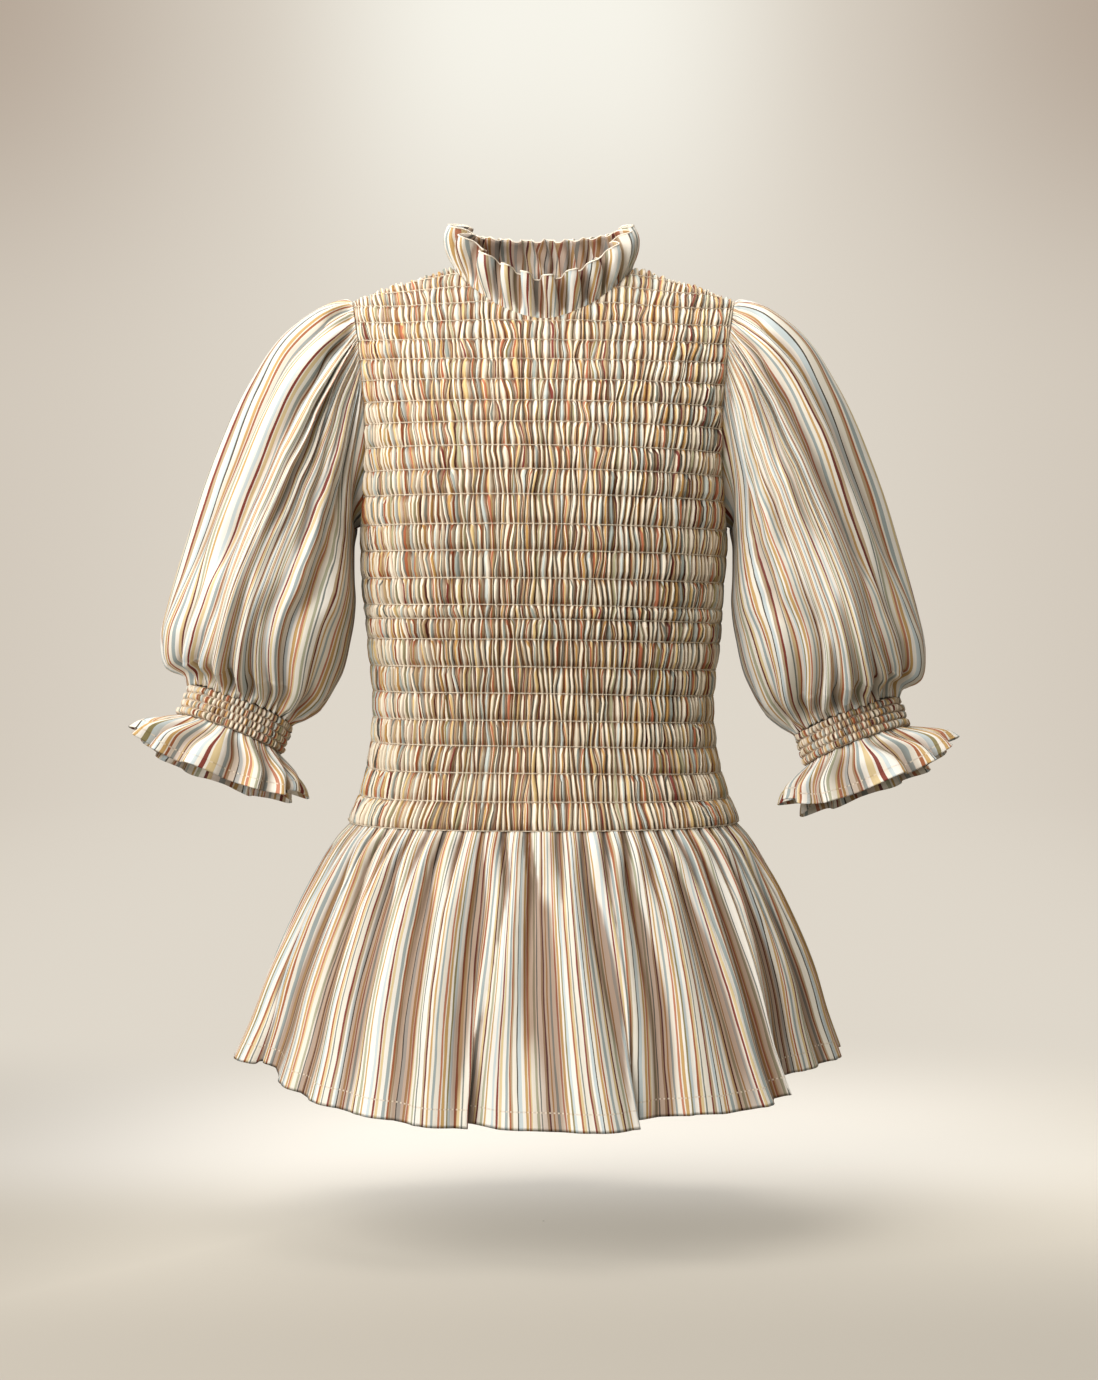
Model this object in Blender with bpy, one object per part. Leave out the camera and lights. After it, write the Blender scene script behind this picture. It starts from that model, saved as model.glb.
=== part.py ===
# A smocked blouse, hollow as it is worn: a front and a back of gathered cotton, a ruffled stand
# collar, balloon sleeves on shirred cuffs with ruffles, and a gathered peplum in two panels.
# Sizes are in millimetres and MM turns them into metres. The front faces -Y, the wearer's left
# is at +X, and the origin is the middle of the neckline, level with its high points at the sides.

import bmesh
import bpy
import numpy as np
from mathutils import Vector
from mathutils.geometry import delaunay_2d_cdt

MM = 0.001


def table(columns, *rows):
    # A short table, as one array for each named column
    return dict(zip(columns.split(), np.array(rows, float).T))


def eased(x, knots, values):
    # A smooth curve through the knots: a cubic in each span, with slopes shared at its ends
    slopes = np.gradient(values, knots)
    i = np.clip(np.searchsorted(knots, x) - 1, 0, len(knots) - 2)
    span = knots[i + 1] - knots[i]
    u = np.clip((x - knots[i]) / span, 0, 1)
    ends = values[i] * (1 + 2 * u) * (1 - u) ** 2 + values[i + 1] * u**2 * (3 - 2 * u)
    return ends + span * (slopes[i] * u * (1 - u) ** 2 + slopes[i + 1] * u**2 * (u - 1))


# Cloth walls and seams
WALL = 2.0
RUFFLE_WALL = 1.6
SEAM = 0.3

# The body's sections from the waist seam up: half width, and depth before and behind the side
# seams. Above the underarm the half width fans the pleats out over the shoulders.
WAIST_Z = -468.0
SECTION_POWER = 2.3
BODY = table(
    "z half_width front back",
    (-468, 163, 112, 108),
    (-442, 152, 106, 100),
    (-415, 145, 101, 94),
    (-370, 141, 99, 89),
    (-310, 146, 107, 92),
    (-254, 150.5, 115, 98),
    (-205, 153, 116, 102),
    (-150, 158, 109, 105),
    (-100, 166, 92, 101),
    (-50, 175, 66, 91),
    (0, 186, 52, 79),
    (35, 191, 48, 70),
)

# The shoulders: a line that falls from the neck to the sleeve, with a rounded roll on each side
SHOULDER_TIP_X = 161.0
SHOULDER_TIP_Z = -28.0
SHOULDER_FALL = 0.32
ROLL_HEIGHT = {"front": 70.0, "back": 60.0}
NECK_HALF_WIDTH = 76.0
NECK_HALF_DEPTH = {"front": 65.3, "back": 62.0}

# The armhole below the shoulder tip, by angle from the panel's middle
ARMHOLE = table(
    "angle z",
    (62.0, -58),
    (62.9, -92),
    (65.5, -128),
    (71.0, -168),
    (80.0, -202),
    (90.0, -217),
)

# Smocking: puffs between the rows of stitches, in columns across each panel
SMOCK_COLUMNS = 36
SMOCK_ROW = 21.8
SMOCK_PUFF = 3.4
SMOCK_MARGIN = 5.5
INSIDE_STEP = (3, 2)


def section_shares(angle):
    # Sideways and forward shares of a section at an angle from the panel's middle
    power = 2 / SECTION_POWER
    side = np.sign(np.sin(angle)) * np.abs(np.sin(angle)) ** power
    ahead = np.abs(np.cos(angle)) ** power
    return side, ahead


def shoulder_z(x):
    return SHOULDER_TIP_Z + (SHOULDER_TIP_X - np.abs(x)) * SHOULDER_FALL


class Panel:
    # Front or back of the bodice. Across is measured at the bust from the panel's middle, and up
    # is measured along the cloth from the waist seam, so rows of stitches have one value of up.
    LINES = 181
    UP_STEPS = 60
    ROLL_STEPS = 30

    def __init__(self, part):
        self.part = part
        self.facing = -1 if part == "front" else 1
        self.angles = np.radians(np.linspace(-90, 90, self.LINES))
        self.lines = np.array([self.pleat_line(angle) for angle in self.angles])
        steps = np.linalg.norm(np.diff(self.lines, axis=1), axis=2)
        self.ups = np.concatenate([np.zeros((self.LINES, 1)), steps.cumsum(axis=1)], axis=1)
        bust = np.array([self.at_height(i, BUST_Z) for i in range(self.LINES)])
        run = np.concatenate([[0], np.linalg.norm(np.diff(bust, axis=0), axis=1).cumsum()])
        self.across = run - run[-1] / 2
        self.half = self.across[-1]

    def pleat_line(self, angle):
        # Up the body at one angle, then over the roll to the shoulder line
        side, ahead = section_shares(angle)
        ridge_x = SHOULDER_TIP_X
        for _ in range(8):
            ridge_x = eased(shoulder_z(ridge_x), BODY["z"], BODY["half_width"]) * abs(side)
        roll = ROLL_HEIGHT[self.part]
        roll_z = shoulder_z(ridge_x) - roll
        turn = np.linspace(0, np.pi / 2, self.ROLL_STEPS)[1:]
        turn = np.concatenate([np.zeros(self.UP_STEPS), turn])
        z = np.linspace(WAIST_Z, roll_z, self.UP_STEPS)
        z = np.concatenate([z, roll_z + roll * np.sin(turn[self.UP_STEPS :])])
        x = eased(z, BODY["z"], BODY["half_width"]) * side
        y = eased(z, BODY["z"], BODY[self.part]) * ahead * np.cos(turn) * self.facing
        return np.stack([x, y, z], axis=1)

    def at_height(self, i, z):
        return np.array([np.interp(z, self.lines[i][:, 2], self.lines[i][:, k]) for k in range(3)])

    def up_at(self, angle, z):
        line = self.pleat_line(angle)
        steps = np.linalg.norm(np.diff(line, axis=0), axis=1)
        return np.interp(z, line[:, 2], np.concatenate([[0], steps.cumsum()]))

    def across_at(self, angle):
        return np.interp(angle, self.angles, self.across)

    def point(self, across, up):
        place = np.interp(across, self.across, np.arange(self.LINES))
        first = min(int(place), self.LINES - 2)
        ends = []
        for i in (first, first + 1):
            ends.append([np.interp(up, self.ups[i], self.lines[i][:, k]) for k in range(3)])
        share = place - first
        return np.array(ends[0]) * (1 - share) + np.array(ends[1]) * share

    def normal(self, across, up, step=2.0):
        left = self.point(max(across - step, -self.half), up)
        right = self.point(min(across + step, self.half), up)
        rise = self.point(across, up) - self.point(across, max(up - step, 0))
        if up < step:
            rise = self.point(across, up + step) - self.point(across, up)
        normal = np.cross(right - left, rise) * -self.facing
        return normal / np.linalg.norm(normal)

    def resampled(self, places, count):
        # Places along a curve on the cloth, spread evenly by real length
        points = np.array([self.point(*place) for place in places])
        run = np.concatenate([[0], np.linalg.norm(np.diff(points, axis=0), axis=1).cumsum()])
        wanted = np.linspace(0, run[-1], count + 1)
        places = np.array(places)
        return [np.array([np.interp(w, run, places[:, k]) for k in (0, 1)]) for w in wanted]

    def neckline(self, count):
        # Where the right half of the neck's oval crosses the pleat lines, from the middle out
        places = []
        for i in range(self.LINES // 2, self.LINES):
            line = self.lines[i]
            oval = (line[:, 0] / NECK_HALF_WIDTH) ** 2 + (line[:, 1] / NECK_HALF_DEPTH[self.part]) ** 2
            if oval[-1] >= 1:
                break
            top = self.ups[i][-1]
            inside = np.interp(-1, -oval[self.UP_STEPS // 2 :], self.ups[i][self.UP_STEPS // 2 :])
            places.append((self.across[i], min(inside, top)))
        edge = self.neck_edge_angle()
        places.append((self.across_at(edge), self.up_at(edge, shoulder_z(NECK_HALF_WIDTH))))
        return self.resampled(places, count)

    def neck_edge_angle(self):
        ridge = self.lines[:, -1, 0]
        return np.interp(NECK_HALF_WIDTH, ridge, self.angles)

    def tip_angle(self):
        return np.interp(SHOULDER_TIP_X, self.lines[:, -1, 0], self.angles)

    def shoulder(self, count):
        angles = np.linspace(self.tip_angle(), self.neck_edge_angle(), 20)
        places = [(self.across_at(a), self.up_at(a, 100.0)) for a in angles]
        return self.resampled(places, count)

    def armhole(self, count):
        # From the underarm up to the shoulder tip
        angles = np.append(np.radians(ARMHOLE["angle"])[::-1], self.tip_angle())
        heights = np.append(ARMHOLE["z"][::-1], SHOULDER_TIP_Z)
        part = np.linspace(0, 1, len(angles))
        fine = np.linspace(0, 1, 60)
        angles, heights = eased(fine, part, angles), eased(fine, part, heights)
        heights = np.minimum(heights, SHOULDER_TIP_Z)
        places = [(self.across_at(a), self.up_at(a, z)) for a, z in zip(angles, heights)]
        places[-1] = (places[-1][0], self.up_at(self.tip_angle(), 100.0))
        return self.resampled(places, count)


BUST_Z = -254.0
ARMHOLE_POINTS = 16
SHOULDER_POINTS = 7
NECK_POINTS = 9


def panel_outline(panel):
    # The panel's edge, anticlockwise from the lower left corner, with the seam that each point is in
    right = []
    underarm_up = panel.up_at(np.pi / 2, ARMHOLE["z"][-1])
    for across in np.linspace(-panel.half, panel.half, SMOCK_COLUMNS + 1)[:-1]:
        right.append(("waist", across, 0.0))
    waist = right
    side = [("corner", panel.half, 0.0)]
    for up in np.arange(SMOCK_ROW, underarm_up - SMOCK_ROW / 3, SMOCK_ROW):
        side.append(("side", panel.half, up))
    armhole = [("armhole", *place) for place in panel.armhole(ARMHOLE_POINTS)]
    armhole[0] = ("side", *armhole[0][1:])
    shoulder = [("shoulder", *place) for place in panel.shoulder(SHOULDER_POINTS)]
    neck = [("neck", *place) for place in panel.neckline(NECK_POINTS)]
    upper = side + armhole[:-1] + shoulder[:-1] + [("shoulder", *neck[-1][1:])] + neck[-2::-1]
    mirrored = [(seam, -across, up) for seam, across, up in upper[::-1]]
    return waist[1:] + upper + mirrored[1:]


def inside_outline(outline, across, up):
    # How far a place lies inside the outline; negative when it is outside
    places = np.array([place[1:] for place in outline])
    ends = np.roll(places, -1, axis=0)
    run = ends - places
    share = ((across - places[:, 0]) * run[:, 0] + (up - places[:, 1]) * run[:, 1]) / (run**2).sum(1)
    nearest = places + run * np.clip(share, 0, 1)[:, None]
    distance = np.hypot(nearest[:, 0] - across, nearest[:, 1] - up).min()
    crosses = (places[:, 1] > up) != (ends[:, 1] > up)
    height = np.where(run[:, 1] == 0, 1, run[:, 1])
    at = places[:, 0] + (up - places[:, 1]) / height * run[:, 0]
    return distance if (crosses & (at > across)).sum() % 2 else -distance


def fill_outline(outline, inner_places, guides):
    # Triangles that fill the outline through the places inside it, along the guides
    places = [Vector((across, up)) for _, across, up in outline]
    places += [Vector(place) for place in inner_places]
    count = len(outline)
    rim = [(i, (i + 1) % count) for i in range(count)]
    guides = [(a + count, b + count) for a, b in guides]
    made = delaunay_2d_cdt(places, rim + guides, [], 1, 1e-6)
    source = [found[0] for found in made[3]]
    return [tuple(source[i] for i in face) for face in made[2]]


def smock_places(panel, outline):
    # Stitched corners of the puffs, their tops, and the pleats that run up between the corners
    edges = np.linspace(-panel.half, panel.half, SMOCK_COLUMNS + 1)
    rows = np.arange(0, panel.ups.max() + SMOCK_ROW, SMOCK_ROW)
    places, raised, guides = [], [], []
    for across in edges[1:-1]:
        last = None
        for up in rows[1:]:
            if inside_outline(outline, across, up) < SMOCK_MARGIN:
                last = None
                continue
            places.append((across, up))
            raised.append(False)
            if last is not None:
                guides.append((last, len(places) - 1))
            last = len(places) - 1
    for across in (edges[1:] + edges[:-1]) / 2:
        for up in (rows[1:] + rows[:-1]) / 2:
            if inside_outline(outline, across, up) > SMOCK_MARGIN:
                places.append((across, up))
                raised.append(True)
    return places, raised, guides


def plain_places(panel, outline):
    # A sparse grid for the plain inside of the panel
    columns, rows = INSIDE_STEP
    places = []
    for across in np.linspace(-panel.half, panel.half, SMOCK_COLUMNS + 1)[::columns][1:-1]:
        for up in np.arange(0, panel.ups.max(), SMOCK_ROW * rows)[1:]:
            if inside_outline(outline, across, up) > SMOCK_ROW / 2:
                places.append((across, up))
    return places


def wall_point(panel, seam, across, up, inward, raised=0.0):
    # A point of the panel's wall, kept on the plane of the seam that it belongs to
    normal = panel.normal(across, up)
    if seam in ("waist", "corner"):
        normal = normal * (1, 1, 0)
        normal /= np.linalg.norm(normal)
    point = panel.point(across, up) - normal * (inward - raised)
    if seam in ("waist", "corner"):
        point[2] = WAIST_Z + SEAM / 2
    if seam in ("side", "corner", "shoulder"):
        point[1] = panel.facing * SEAM / 2
    return point


def bodice_mesh(part):
    panel = Panel(part)
    outline = panel_outline(panel)
    puffs, raised, guides = smock_places(panel, outline)
    plain = plain_places(panel, outline)
    outer = [wall_point(panel, *place, 0.0) for place in outline]
    outer += [
        wall_point(panel, "", *place, 0.0, SMOCK_PUFF * lifted)
        for place, lifted in zip(puffs, raised)
    ]
    inner = [wall_point(panel, *place, WALL) for place in outline]
    inner += [wall_point(panel, "", *place, WALL) for place in plain]
    faces = fill_outline(outline, puffs, guides)
    shift = len(outer)
    for face in fill_outline(outline, plain, []):
        faces.append(tuple(i + shift for i in reversed(face)))
    for i in range(len(outline)):
        j = (i + 1) % len(outline)
        faces.append((j, i, i + shift, j + shift))
    return np.array(outer + inner), faces


def seam_curve(curve_of):
    # The same curve of the front and of the back, as points and outward normals
    found = {}
    for part in ("front", "back"):
        panel = Panel(part)
        places = curve_of(panel)
        points = np.array([panel.point(*place) for place in places])
        normals = np.array([panel.normal(*place) for place in places])
        found[part] = (points, normals)
    return found


def inward_grid(grid, thickness, around):
    # The grid moved inward by the wall's thickness, square to its own surface
    if around:
        run = np.roll(grid, -1, axis=1) - np.roll(grid, 1, axis=1)
    else:
        run = np.gradient(grid, axis=1)
    normal = np.cross(run, np.gradient(grid, axis=0))
    normal /= np.linalg.norm(normal, axis=2, keepdims=True)
    outward = (normal * (grid - grid.mean(axis=1, keepdims=True))).sum()
    return grid - np.sign(outward) * thickness * normal


def wall_faces(rows, columns, around):
    # Faces of a wall between an outer and an inner grid, closed at every edge
    def at(side, row, column):
        return (side * rows + row) * columns + column % columns

    faces = []
    last = columns if around else columns - 1
    for column in range(last):
        for row in range(rows - 1):
            for side in (0, 1):
                corners = [(row, column), (row, column + 1), (row + 1, column + 1), (row + 1, column)]
                faces.append(tuple(at(side, *c) for c in corners))
        for row in (0, rows - 1):
            ends = (at(0, row, column), at(0, row, column + 1))
            faces.append((*ends, at(1, row, column + 1), at(1, row, column)))
    for column in () if around else (0, columns - 1):
        for row in range(rows - 1):
            ends = (at(0, row, column), at(0, row + 1, column))
            faces.append((*ends, at(1, row + 1, column), at(1, row, column)))
    return faces


def waves(angle, folds):
    # A round of folds: crests and troughs in a table, joined by half waves
    knots = np.concatenate([folds["angle"] - 360, folds["angle"], folds["angle"] + 360])
    depths = np.tile(folds["depth"], 3)
    i = np.clip(np.searchsorted(knots, angle) - 1, 0, len(knots) - 2)
    share = (angle - knots[i]) / (knots[i + 1] - knots[i])
    return depths[i] + (depths[i + 1] - depths[i]) * (1 - np.cos(np.pi * share)) / 2


# The collar: a gathered ruffle that stands on the neckline and leans out a little
COLLAR_WAVES = 24
COLLAR_GAP = 1.0
COLLAR_RISE = table("angle height", (0, 33), (60, 37), (100, 41), (140, 38), (180, 36))
COLLAR_ROWS = table(
    "rise lean wave",
    (-0.10, 0.0, 0.0),
    (0.06, 0.0, 0.0),
    (0.40, 2.0, 2.6),
    (1.00, 7.5, 4.4),
)


def collar_mesh():
    curves = seam_curve(lambda panel: panel.neckline(30))
    count = COLLAR_WAVES * 4
    angles = np.arange(count) * 360 / count
    turn = np.radians(angles)
    seam_z, wall_share = np.empty(count), np.empty(count)
    for part, facing in (("front", -1), ("back", 1)):
        points, normals = curves[part]
        along = np.degrees(np.arctan2(points[:, 0] / NECK_HALF_WIDTH, -points[:, 1] / NECK_HALF_DEPTH[part]))
        folded = np.where(angles > 180, 360 - angles, angles)
        here = (folded <= 90) if facing < 0 else (folded > 90)
        order = np.argsort(along)
        seam_z[here] = np.interp(folded[here], along[order], points[order, 2])
        level = np.hypot(normals[:, 0], normals[:, 1])
        wall_share[here] = np.interp(folded[here], along[order], level[order])
    folded = np.where(angles > 180, 360 - angles, angles)
    height = eased(folded, COLLAR_RISE["angle"], COLLAR_RISE["height"])
    half_depth = np.where(np.cos(turn) > 0, NECK_HALF_DEPTH["front"], NECK_HALF_DEPTH["back"])
    base = np.stack([NECK_HALF_WIDTH * np.sin(turn), -half_depth * np.cos(turn)], axis=1)
    out = np.stack([half_depth * np.sin(turn), -NECK_HALF_WIDTH * np.cos(turn)], axis=1)
    out /= np.linalg.norm(out, axis=1, keepdims=True)
    inset = COLLAR_GAP + WALL * wall_share
    ripple = np.sin(COLLAR_WAVES * turn + 0.6 * np.sin(3 * turn))
    grid = []
    for rise, lean, wave in zip(*COLLAR_ROWS.values()):
        level = base + out * (lean - inset + wave * ripple)[:, None]
        grid.append(np.column_stack([level, seam_z + rise * height]))
    grid = np.array(grid)
    inner = inward_grid(grid, RUFFLE_WALL, True)
    return np.concatenate([grid, inner]).reshape(-1, 3), wall_faces(len(grid), count, True)


# The peplum: sections from the waist seam to the hem. The drop is a share of the cloth's length.
PEPLUM = table(
    "drop half_width front back",
    (0.00, 163, 112, 108),
    (0.08, 175, 121, 117),
    (0.22, 190.5, 132, 128),
    (0.42, 210, 146, 141),
    (0.65, 229, 162, 156),
    (0.84, 241, 175, 167),
    (1.00, 253, 186, 177),
)
PEPLUM_LENGTH = {"side": 187.0, "front": 230.0, "back": 222.0}
HEM_CURVE = 1.5  # above 1, the hem stays high at the sides and drops late towards the middle
PEPLUM_GATHERS = 14
PEPLUM_GATHER_DEPTH = (2.6, 2.0)
HEM_LIFT = 0.35

# Folds at the hem by angle from the middle of the panel: crests above zero, troughs below
PEPLUM_FOLDS = {
    "front": table(
        "angle depth",
        (-90, 0),
        (-77, 11),
        (-63, -15),
        (-38, 14),
        (-9, -17),
        (9, 16),
        (26, -12),
        (41, 9),
        (56, -16),
        (74, 12),
        (90, 0),
    ),
    "back": table(
        "angle depth",
        (-90, 0),
        (-75, 12),
        (-57, -14),
        (-40, 12),
        (-21, -15),
        (1, 15),
        (22, -13),
        (42, 14),
        (60, -15),
        (76, 11),
        (90, 0),
    ),
}


def peplum_mesh(part):
    facing = -1 if part == "front" else 1
    count = PEPLUM_GATHERS * 4 + 1
    angles = np.linspace(-90, 90, count)
    turn = np.radians(angles)
    side, ahead = section_shares(turn)
    share = np.abs(np.cos(turn)) ** HEM_CURVE
    length = PEPLUM_LENGTH["side"] + (PEPLUM_LENGTH[part] - PEPLUM_LENGTH["side"]) * share
    folds = waves(angles, PEPLUM_FOLDS[part])
    ripple = np.sin(2 * PEPLUM_GATHERS * (turn + np.pi / 2))
    grid = []
    for i, drop in enumerate(PEPLUM["drop"]):
        half_width, depth = PEPLUM["half_width"][i], PEPLUM[part][i]
        out = np.stack([depth * side, facing * half_width * ahead], axis=1)
        out /= np.linalg.norm(out, axis=1, keepdims=True)
        first, last = PEPLUM_GATHER_DEPTH
        gather = (first + (last - first) * drop) * ripple
        ends = np.minimum(1, (90 - np.abs(angles)) / 6)
        reach = folds * drop**1.3 + gather * ends
        level = np.stack([half_width * side, facing * depth * ahead], axis=1) + out * reach[:, None]
        lift = np.maximum(-folds, 0) * HEM_LIFT * drop**2
        grid.append(np.column_stack([level, WAIST_Z - SEAM / 2 - length * drop + lift]))
    grid = np.array(grid)
    inner = inward_grid(grid, WALL, False)
    for side_grid in (grid, inner):
        side_grid[0, :, 2] = WAIST_Z - SEAM / 2
        side_grid[:, (0, -1), 1] = facing * SEAM / 2
    return np.concatenate([grid, inner]).reshape(-1, 3), wall_faces(len(grid), count, False)


# A sleeve, on the wearer's left: sections from the armhole to the cuff. Each has its outer end
# and its end under the arm, its half depth, where its middle lies in depth, and its lean, the
# angle by which its front edge is tipped up. Gather and fold are how deep those run there.
SLEEVE_WAVES = 10
SLEEVE_POINTS = SLEEVE_WAVES * 4
SLEEVE_POWER = 2.2
SLEEVE = table(
    "outer_x outer_z under_x under_z half_depth middle_y lean gather fold",
    (184, -33, 158.5, -224, 63, -3, 0, 3.0, 0.15),
    (218, -56, 160.0, -234, 71, -5, 1, 3.4, 0.45),
    (247, -99, 160.0, -247, 77, -8, 2, 2.6, 0.8),
    (277, -165, 159.5, -264, 80, -11, 4, 1.2, 1.0),
    (298, -226, 158.5, -284, 81, -15, 6, 0.6, 1.0),
    (314, -281, 162.0, -311, 79, -19, 8, 0.8, 1.0),
    (320, -314, 171.0, -345, 72, -22, 10, 1.8, 0.8),
    (314, -335, 187.0, -369, 58, -24, 11, 3.0, 0.5),
)
SLEEVE_FOLDS = table(
    "angle depth",
    (12, 4),
    (45, -7),
    (78, 8),
    (128, -13),
    (165, 2),
    (200, -3),
    (232, 8),
    (270, -8),
    (305, 6),
    (340, -5),
)
FOLD_DRIFT = 26.0
CAP_LENGTH = 7.0
CAP_GAP = 0.45

# The cuff: a shirred band between two rows of gathers, wider than deep
CUFF = {"outer_x": 297.0, "outer_z": -353.0, "under_x": 213.0, "under_z": -385.0}
CUFF_HALF_DEPTH = 38.0
CUFF_MIDDLE_Y = -26.0
CUFF_LEAN = 12.0
CUFF_LENGTH = 26.0
CUFF_ROWS = 4
CUFF_COLUMNS = 24
CUFF_PUFF = 3.0
SLEEVE_DROP = {"left": 10.0, "right": 0.0}

# The ruffle below the cuff: it flares most at its two ends, where its hem is highest
RUFFLE_WAVES = 11
RUFFLE_ROWS = table(
    "drop half_width half_depth wave",
    (0.00, 44.0, 37.0, 0.8),
    (0.25, 54.0, 42.0, 2.6),
    (0.60, 66.0, 47.0, 4.0),
    (1.00, 76.0, 52.0, 5.0),
)
RUFFLE_DROP = {"ends": 25.0, "middle": 38.0}


def ring_frame(outer, under, lean):
    # Unit vectors of a section: from under to outer, towards the front, and along the arm
    across = np.array([outer[0] - under[0], 0.0, outer[1] - under[1]])
    width = np.linalg.norm(across)
    across /= width
    down = np.array([across[2], 0.0, -across[0]])
    tip = np.radians(lean)
    front = np.array([0, -np.cos(tip), 0]) - down * np.sin(tip)
    along = np.array([0, -np.sin(tip), 0]) + down * np.cos(tip)
    return width / 2, across, front, along


def ring_shares(count, power=2.0):
    turn = np.arange(count) * 2 * np.pi / count
    share = 2 / power
    outer = np.sign(np.cos(turn)) * np.abs(np.cos(turn)) ** share
    front = np.sign(np.sin(turn)) * np.abs(np.sin(turn)) ** share
    return turn, outer, front


def cuff_frame():
    outer = (CUFF["outer_x"], CUFF["outer_z"])
    under = (CUFF["under_x"], CUFF["under_z"])
    half_width, across, front, along = ring_frame(outer, under, CUFF_LEAN)
    middle_x, middle_z = (outer[0] + under[0]) / 2, (outer[1] + under[1]) / 2
    return half_width, across, front, along, np.array([middle_x, CUFF_MIDDLE_Y, middle_z])


def armhole_ring():
    # The armhole seam as points at equal turns, from the shoulder tip forward and round
    curves = seam_curve(lambda panel: panel.armhole(60))
    top, bottom = SHOULDER_TIP_Z, ARMHOLE["z"][-1]
    turn = np.arange(SLEEVE_POINTS) * 2 * np.pi / SLEEVE_POINTS
    heights = (top + bottom) / 2 + (top - bottom) / 2 * np.cos(turn)
    ring = np.empty((SLEEVE_POINTS, 3))
    for part, here in (("front", turn <= np.pi), ("back", turn > np.pi)):
        points, _ = curves[part]
        for k in range(3):
            ring[here, k] = np.interp(heights[here], points[:, 2], points[:, k])
    return ring


def sleeve_grid():
    seam = armhole_ring() + (CAP_GAP, 0, 0)
    turn, outer_share, front_share = ring_shares(SLEEVE_POINTS, SLEEVE_POWER)
    middle = seam.mean(axis=0)
    swell = (seam - middle) * (0, 1, 1)
    swell /= np.linalg.norm(swell, axis=1, keepdims=True)
    swell[:, 2] *= np.where(swell[:, 2] > 0, 0.2, 0.6)
    cap_wave = np.cos(SLEEVE_WAVES * turn)
    cap_share = np.clip(1.2 + np.cos(turn), 0, 1)
    first = seam + CAP_LENGTH * (np.array([0.8, 0, 0]) + 0.55 * swell)
    first += swell * (1.8 * cap_wave * cap_share)[:, None]
    grid = [seam, first]
    for i, (outer_x, outer_z, under_x, under_z, depth, middle_y, lean, gather, fold) in enumerate(
        zip(*SLEEVE.values())
    ):
        half_width, across, front, _ = ring_frame((outer_x, outer_z), (under_x, under_z), lean)
        centre = np.array([(outer_x + under_x) / 2, middle_y, (outer_z + under_z) / 2])
        drift = FOLD_DRIFT * np.sin(i / (len(SLEEVE["fold"]) - 1) * np.pi * 1.5)
        folds = waves((np.degrees(turn) + drift) % 360, SLEEVE_FOLDS) * fold
        clear = np.clip((1 - outer_share) * 2 - 3, 0, 1)
        share = cap_share if i < 4 else 1.0
        reach = (folds + gather * cap_wave * share) * (1 - clear)
        out = outer_share[:, None] * across * depth + front_share[:, None] * front * half_width
        out /= np.linalg.norm(out, axis=1, keepdims=True)
        ring = centre + (outer_share * half_width)[:, None] * across
        ring = ring + (front_share * depth)[:, None] * front
        grid.append(ring + out * reach[:, None])
    half_width, across, front, along, centre = cuff_frame()
    for step, gather in ((9.0, 3.2), (SEAM / 2, 1.0)):
        spread = 1 + step / 60
        ring = centre - along * step + (outer_share * half_width * spread)[:, None] * across
        ring = ring + (front_share * CUFF_HALF_DEPTH * spread)[:, None] * front
        out = outer_share[:, None] * across + front_share[:, None] * front
        grid.append(ring + out * (gather * cap_wave)[:, None])
    return np.array(grid)


def lowered(points, side):
    # The wearer's left as modelled, lowered by the arm's drop from the cap down, or the right
    top, bottom = SHOULDER_TIP_Z, CUFF["outer_z"]
    share = np.clip((top - points[:, 2]) / (top - bottom), 0, 1)
    outwards = np.clip((points[:, 0] - SHOULDER_TIP_X) / 60, 0, 1)
    points = points - np.outer(share * outwards * SLEEVE_DROP[side], (0, 0, 1))
    return points * ((1, 1, 1) if side == "left" else (-1, 1, 1))


def flattened(points, centre, along):
    # Points moved along the arm onto the plane through the centre
    return points - np.outer((points - centre) @ along, along)


def sleeve_mesh(side):
    grid = sleeve_grid()
    inner = inward_grid(grid, WALL, True)
    _, _, _, along, centre = cuff_frame()
    inner[-1] = flattened(inner[-1], centre - along * SEAM / 2, along)
    points = np.concatenate([grid, inner]).reshape(-1, 3)
    return lowered(points, side), wall_faces(len(grid), SLEEVE_POINTS, True)


def cuff_mesh(side):
    half_width, across, front, along, centre = cuff_frame()
    columns = CUFF_COLUMNS

    def ring(drop, inward, half_step):
        turn = (np.arange(columns) + half_step / 2) * 2 * np.pi / columns
        wide, deep = half_width - inward, CUFF_HALF_DEPTH - inward
        return (
            centre
            + along * drop
            + np.outer(np.cos(turn) * wide, across)
            + np.outer(np.sin(turn) * deep, front)
        )

    step = (CUFF_LENGTH - SEAM) / CUFF_ROWS
    top = SEAM / 2
    rings = [ring(top + step * row, 0, 0) for row in range(CUFF_ROWS + 1)]
    tops = [ring(top + step * (row + 0.5), -CUFF_PUFF, 1) for row in range(CUFF_ROWS)]
    inside = [ring(top, WALL, 0), ring(top + step * CUFF_ROWS, WALL, 0)]
    points = np.concatenate(rings + tops + inside)
    faces = []
    tops_at = (CUFF_ROWS + 1) * columns
    inside_at = tops_at + CUFF_ROWS * columns
    for i in range(columns):
        j = (i + 1) % columns
        for row in range(CUFF_ROWS):
            corners = [row * columns + i, row * columns + j]
            corners += [(row + 1) * columns + j, (row + 1) * columns + i]
            for a, b in zip(corners, corners[1:] + corners[:1]):
                faces.append((a, b, tops_at + row * columns + i))
        faces.append((inside_at + i, inside_at + j, inside_at + columns + j, inside_at + columns + i))
        faces.append((i, j, inside_at + j, inside_at + i))
        low = CUFF_ROWS * columns
        faces.append((low + i, low + j, inside_at + columns + j, inside_at + columns + i))
    return lowered(points, side), faces


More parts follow.
